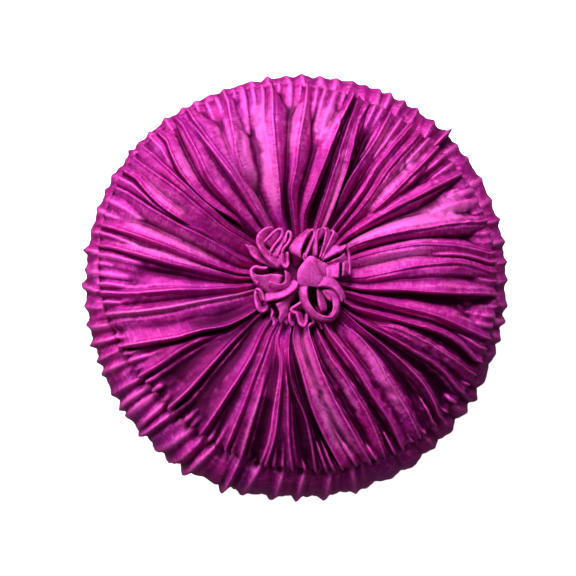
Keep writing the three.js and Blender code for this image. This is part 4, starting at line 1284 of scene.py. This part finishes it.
def strip_fold(edge, foot, thick, high, low, settings, rng):
    """One fold of the doubled strip: a soft puffed wall that hangs from its folded edge."""
    thick = thick * settings.puff
    run = np.hypot(*np.diff(np.array(edge, float), axis=0).T).sum() * CHART_STEP * MM
    count = max(round(run / settings.spacing), 12) + 1
    shares = np.linspace(0, 1, count)
    rim = charted_line(edge, high, shares)
    bend = charted_line(foot, low, shares)
    base = (1 - ROOT_DRAWN_IN) * bend + ROOT_DRAWN_IN * np.array([*HUB, 0])
    base[:, 2] = ROOT_HEIGHT
    crown = 0.5 * (rim + bend) + [0, 0, CROWN_RISE]
    knots = [0, CROWN_FALL, BEND_FALL, 1]
    middle = smooth_curve(knots, np.stack([rim, crown, bend, base]), FALLS)
    side = turned(np.cross(np.gradient(middle, axis=1), np.gradient(middle, axis=0)))
    length = shares * run / MM
    phase = rng.uniform(0, FULL_TURN, 2)
    gathers = np.sin(FULL_TURN * length / GATHER_PITCH + phase[0])
    gathers += 0.6 * np.sin(FULL_TURN * length / (1.7 * GATHER_PITCH) + phase[1])
    felt = 0.05 + smooth_step(FALLS, 0.55, 0.9)
    middle += side * (settings.gathers / MM * gathers * felt[:, None])[..., None]
    wave = EDGE_WAVE * np.sin(FULL_TURN * length / EDGE_WAVE_LENGTH + phase[1])
    middle[..., 2] += wave * (1 - FALLS[:, None])

    # Both walls of the strip, round at the folded edge and at its two ends.
    tall = np.linalg.norm(rim - bend, axis=1).mean() / BEND_FALL
    round_off = np.sqrt(1 - (1 - np.clip(FALLS * tall / (0.5 * thick), 0, 1)) ** 2)
    half = 0.5 * thick * round_off * (1 - ROOT_THINNER * FALLS)
    ends = np.minimum(length, length[-1] - length)
    half = half[:, None] * np.sqrt(np.clip(ends / (END_ROUND * thick), 0, 1))
    swell = side * half[..., None]
    wall = np.concatenate([(middle + swell)[::-1], (middle - swell)[1:]])
    wall = np.concatenate([wall, wall[:1]])
    # Painted highlight along the folded edge, and painted shade down towards the root.
    crest = 0.55 * hump(FALLS * tall, 1.5) - smooth_step(FALLS, 0.62, 0.95)
    fold = np.concatenate([crest[::-1], crest[1:], crest[-1:]])
    return shaped_grid(wall * MM, fold=fold[:, None] * np.ones(count))


def puffed_petal():
    """The one petal whose side is turned up, as a flat puffed fold."""
    segments, rings, foot_rings = 64, 20, 10
    rim = charted_line(
        PETAL_EDGE, PETAL_HEIGHT, np.linspace(0, 1, segments, endpoint=False), closed=True
    )
    middle = rim.mean(axis=0)
    foot = unseen(np.array(PETAL_ROOT) * CHART_STEP, ROOT_HEIGHT)
    rows, crests = [], []
    for spread in np.sin(np.linspace(0, 1, rings) * math.pi / 2):
        row = middle + (rim - middle) * spread
        row[:, 2] += PETAL_PUFF * (1 - spread**5) + PETAL_TILT * (row[:, 1] - middle[1])
        rows.append(row)
        # Painted highlight towards the petal's edge.
        crests.append(0.1 + 0.5 * spread**8)
    for down in np.linspace(0.06, 1, foot_rings):
        row = middle + (foot - middle) * down + (rim - middle) * (1 - down) ** 0.6
        row[:, 2] += PETAL_TILT * (rim[:, 1] - middle[1]) * (1 - down)
        rows.append(row)
        # Painted highlight near the edge, turning to painted shade at the foot.
        crests.append(0.8 - 1.6 * down)
    points = np.array(rows)
    points = np.concatenate([points, points[:, :1]], axis=1)
    return shaped_grid(points * MM, fold=np.array(crests)[:, None] * np.ones(segments + 1))


def gathered_core():
    """The gathered heart of the rosette, which the loops come out of."""
    knots = np.arange(len(CORE_PROFILE))
    profile = smooth_curve(knots, CORE_PROFILE, np.linspace(0, knots[-1], CORE_RINGS + 1))
    deselect_all()
    bpy.ops.mesh.primitive_uv_sphere_add(segments=CORE_SEGMENTS, ring_count=CORE_RINGS, radius=1)
    piece = bpy.context.active_object
    for vertex in piece.data.vertices:
        drop = math.acos(max(-1, min(1, vertex.co.z))) / math.pi
        turn = math.atan2(vertex.co.y, vertex.co.x)
        radius, height = profile[CORE_RINGS - round(drop * CORE_RINGS)]
        radius *= 1 + sum(d * math.sin(count * turn + start) for d, count, start in CORE_WAVES)
        vertex.co = Vector(
            (HUB[0] + radius * math.cos(turn), HUB[1] + radius * math.sin(turn), height)
        ) * MM
    # The whole core gets the painted crease shade.
    keep_values(piece, "fold", -np.ones(len(piece.data.vertices)))
    piece.data.update()
    return piece


class PILLOW_OT_rosette(bpy.types.Operator):
    """Build the rosette: a doubled strip gathered into loops, lips and a petal"""

    bl_idname = "pillow.rosette"
    bl_label = "Rosette"

    def execute(self, context):
        rng = np.random.default_rng(ROSETTE_SEED)
        parts = [strip_fold(*fold, context.scene.rosette, rng) for fold in STRIP_FOLDS]
        piece = joined([*parts, puffed_petal(), gathered_core()])
        material = velvet_material("rosette_velvet", 0.6)
        finish_piece(piece, "rosette_ruffle", material)
        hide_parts("rosette")
        return {"FINISHED"}


def floor_material(colour):
    cloth = Cloth("floor")
    grain = cloth.node("TexNoise", Vector=cloth.node("TexCoord", output=3), Scale=6.0, Detail=2.0)
    return cloth.surface(
        Base_Color=(*colour, 1), Roughness=cloth.ranged(grain, 0, 1, 0.85, 0.95),
        Emission_Color=(1, 1, 1, 1), Emission_Strength=FLOOR_GLOW, Specular_IOR_Level=0.1,
    )


def add_light(name, power, size, place, aim):
    bpy.ops.object.light_add(type="AREA", location=place)
    light = bpy.context.active_object
    light.name = name
    light.data.energy = power
    light.data.shape = "DISK"
    light.data.size = size
    light.rotation_euler = (Vector(aim) - Vector(place)).to_track_quat("-Z", "Y").to_euler()


class PILLOW_OT_stage(bpy.types.Operator):
    """Add the pale floor, the soft lights and the camera at the photo's angle"""

    bl_idname = "pillow.stage"
    bl_label = "Stage"

    def execute(self, context):
        settings = context.scene.stage
        deselect_all()
        bpy.ops.mesh.primitive_plane_add(size=FLOOR_WIDTH)
        floor = context.active_object
        floor.name = "floor"
        floor.data.materials.append(floor_material(settings.floor_colour))
        floor.visible_diffuse = floor.visible_glossy = False
        add_light("key", settings.key_power, *KEY_LIGHT)
        add_light("side", settings.side_power, *SIDE_LIGHT)
        world = context.scene.world or bpy.data.worlds.new("sky")
        context.scene.world = world
        world.use_nodes = True
        sky = world.node_tree.nodes["Background"].inputs
        sky["Color"].default_value = (1, 1, 1, 1)
        sky["Strength"].default_value = settings.sky_strength

        aim = VIEW_MIDDLE - VIEW_RIGHT * SIGHT_RIGHT - VIEW_UP * SIGHT_UP
        place = aim + SIGHT * settings.camera_distance
        bpy.ops.object.camera_add()
        camera = context.active_object
        camera.name = "camera"
        camera.matrix_world = Matrix(
            [[SIGHT_RIGHT[i], SIGHT_UP[i], SIGHT[i], place[i]] for i in range(3)] + [[0, 0, 0, 1]]
        )
        camera.data.lens = CAMERA_LENS
        context.scene.camera = camera
        context.scene.view_settings.view_transform = "Standard"
        deselect_all()
        return {"FINISHED"}


STEPS = (PILLOW_OT_stage, PILLOW_OT_cushion, PILLOW_OT_stitches, PILLOW_OT_rosette)
SETTINGS = {
    "cushion": CushionSettings,
    "velvet": VelvetSettings,
    "rosette": RosetteSettings,
    "stitches": StitchSettings,
    "stage": StageSettings,
}


class PILLOW_PT_panel(bpy.types.Panel):
    """Lists the pillow's pieces and their settings."""

    bl_label = "Round throw pillow"
    bl_idname = "PILLOW_PT_panel"
    bl_space_type = "VIEW_3D"
    bl_region_type = "UI"
    bl_category = "Pillow"

    def draw(self, context):
        for step in STEPS:
            self.layout.operator(step.bl_idname)
        for name, kind in SETTINGS.items():
            box = self.layout.box()
            box.label(text=name.capitalize())
            for key in kind.__annotations__:
                box.prop(getattr(context.scene, name), key)


def register():
    for kind in (*SETTINGS.values(), *STEPS, PILLOW_PT_panel):
        bpy.utils.register_class(kind)
    for name, kind in SETTINGS.items():
        setattr(bpy.types.Scene, name, PointerProperty(type=kind))


def unregister():
    for name in SETTINGS:
        delattr(bpy.types.Scene, name)
    for kind in (PILLOW_PT_panel, *reversed(STEPS), *SETTINGS.values()):
        bpy.utils.unregister_class(kind)


def main():
    register()
    deselect_all()
    bpy.ops.pillow.stage()
    bpy.ops.pillow.cushion()
    bpy.ops.pillow.stitches()
    bpy.ops.pillow.rosette()


if __name__ == "__main__":
    main()
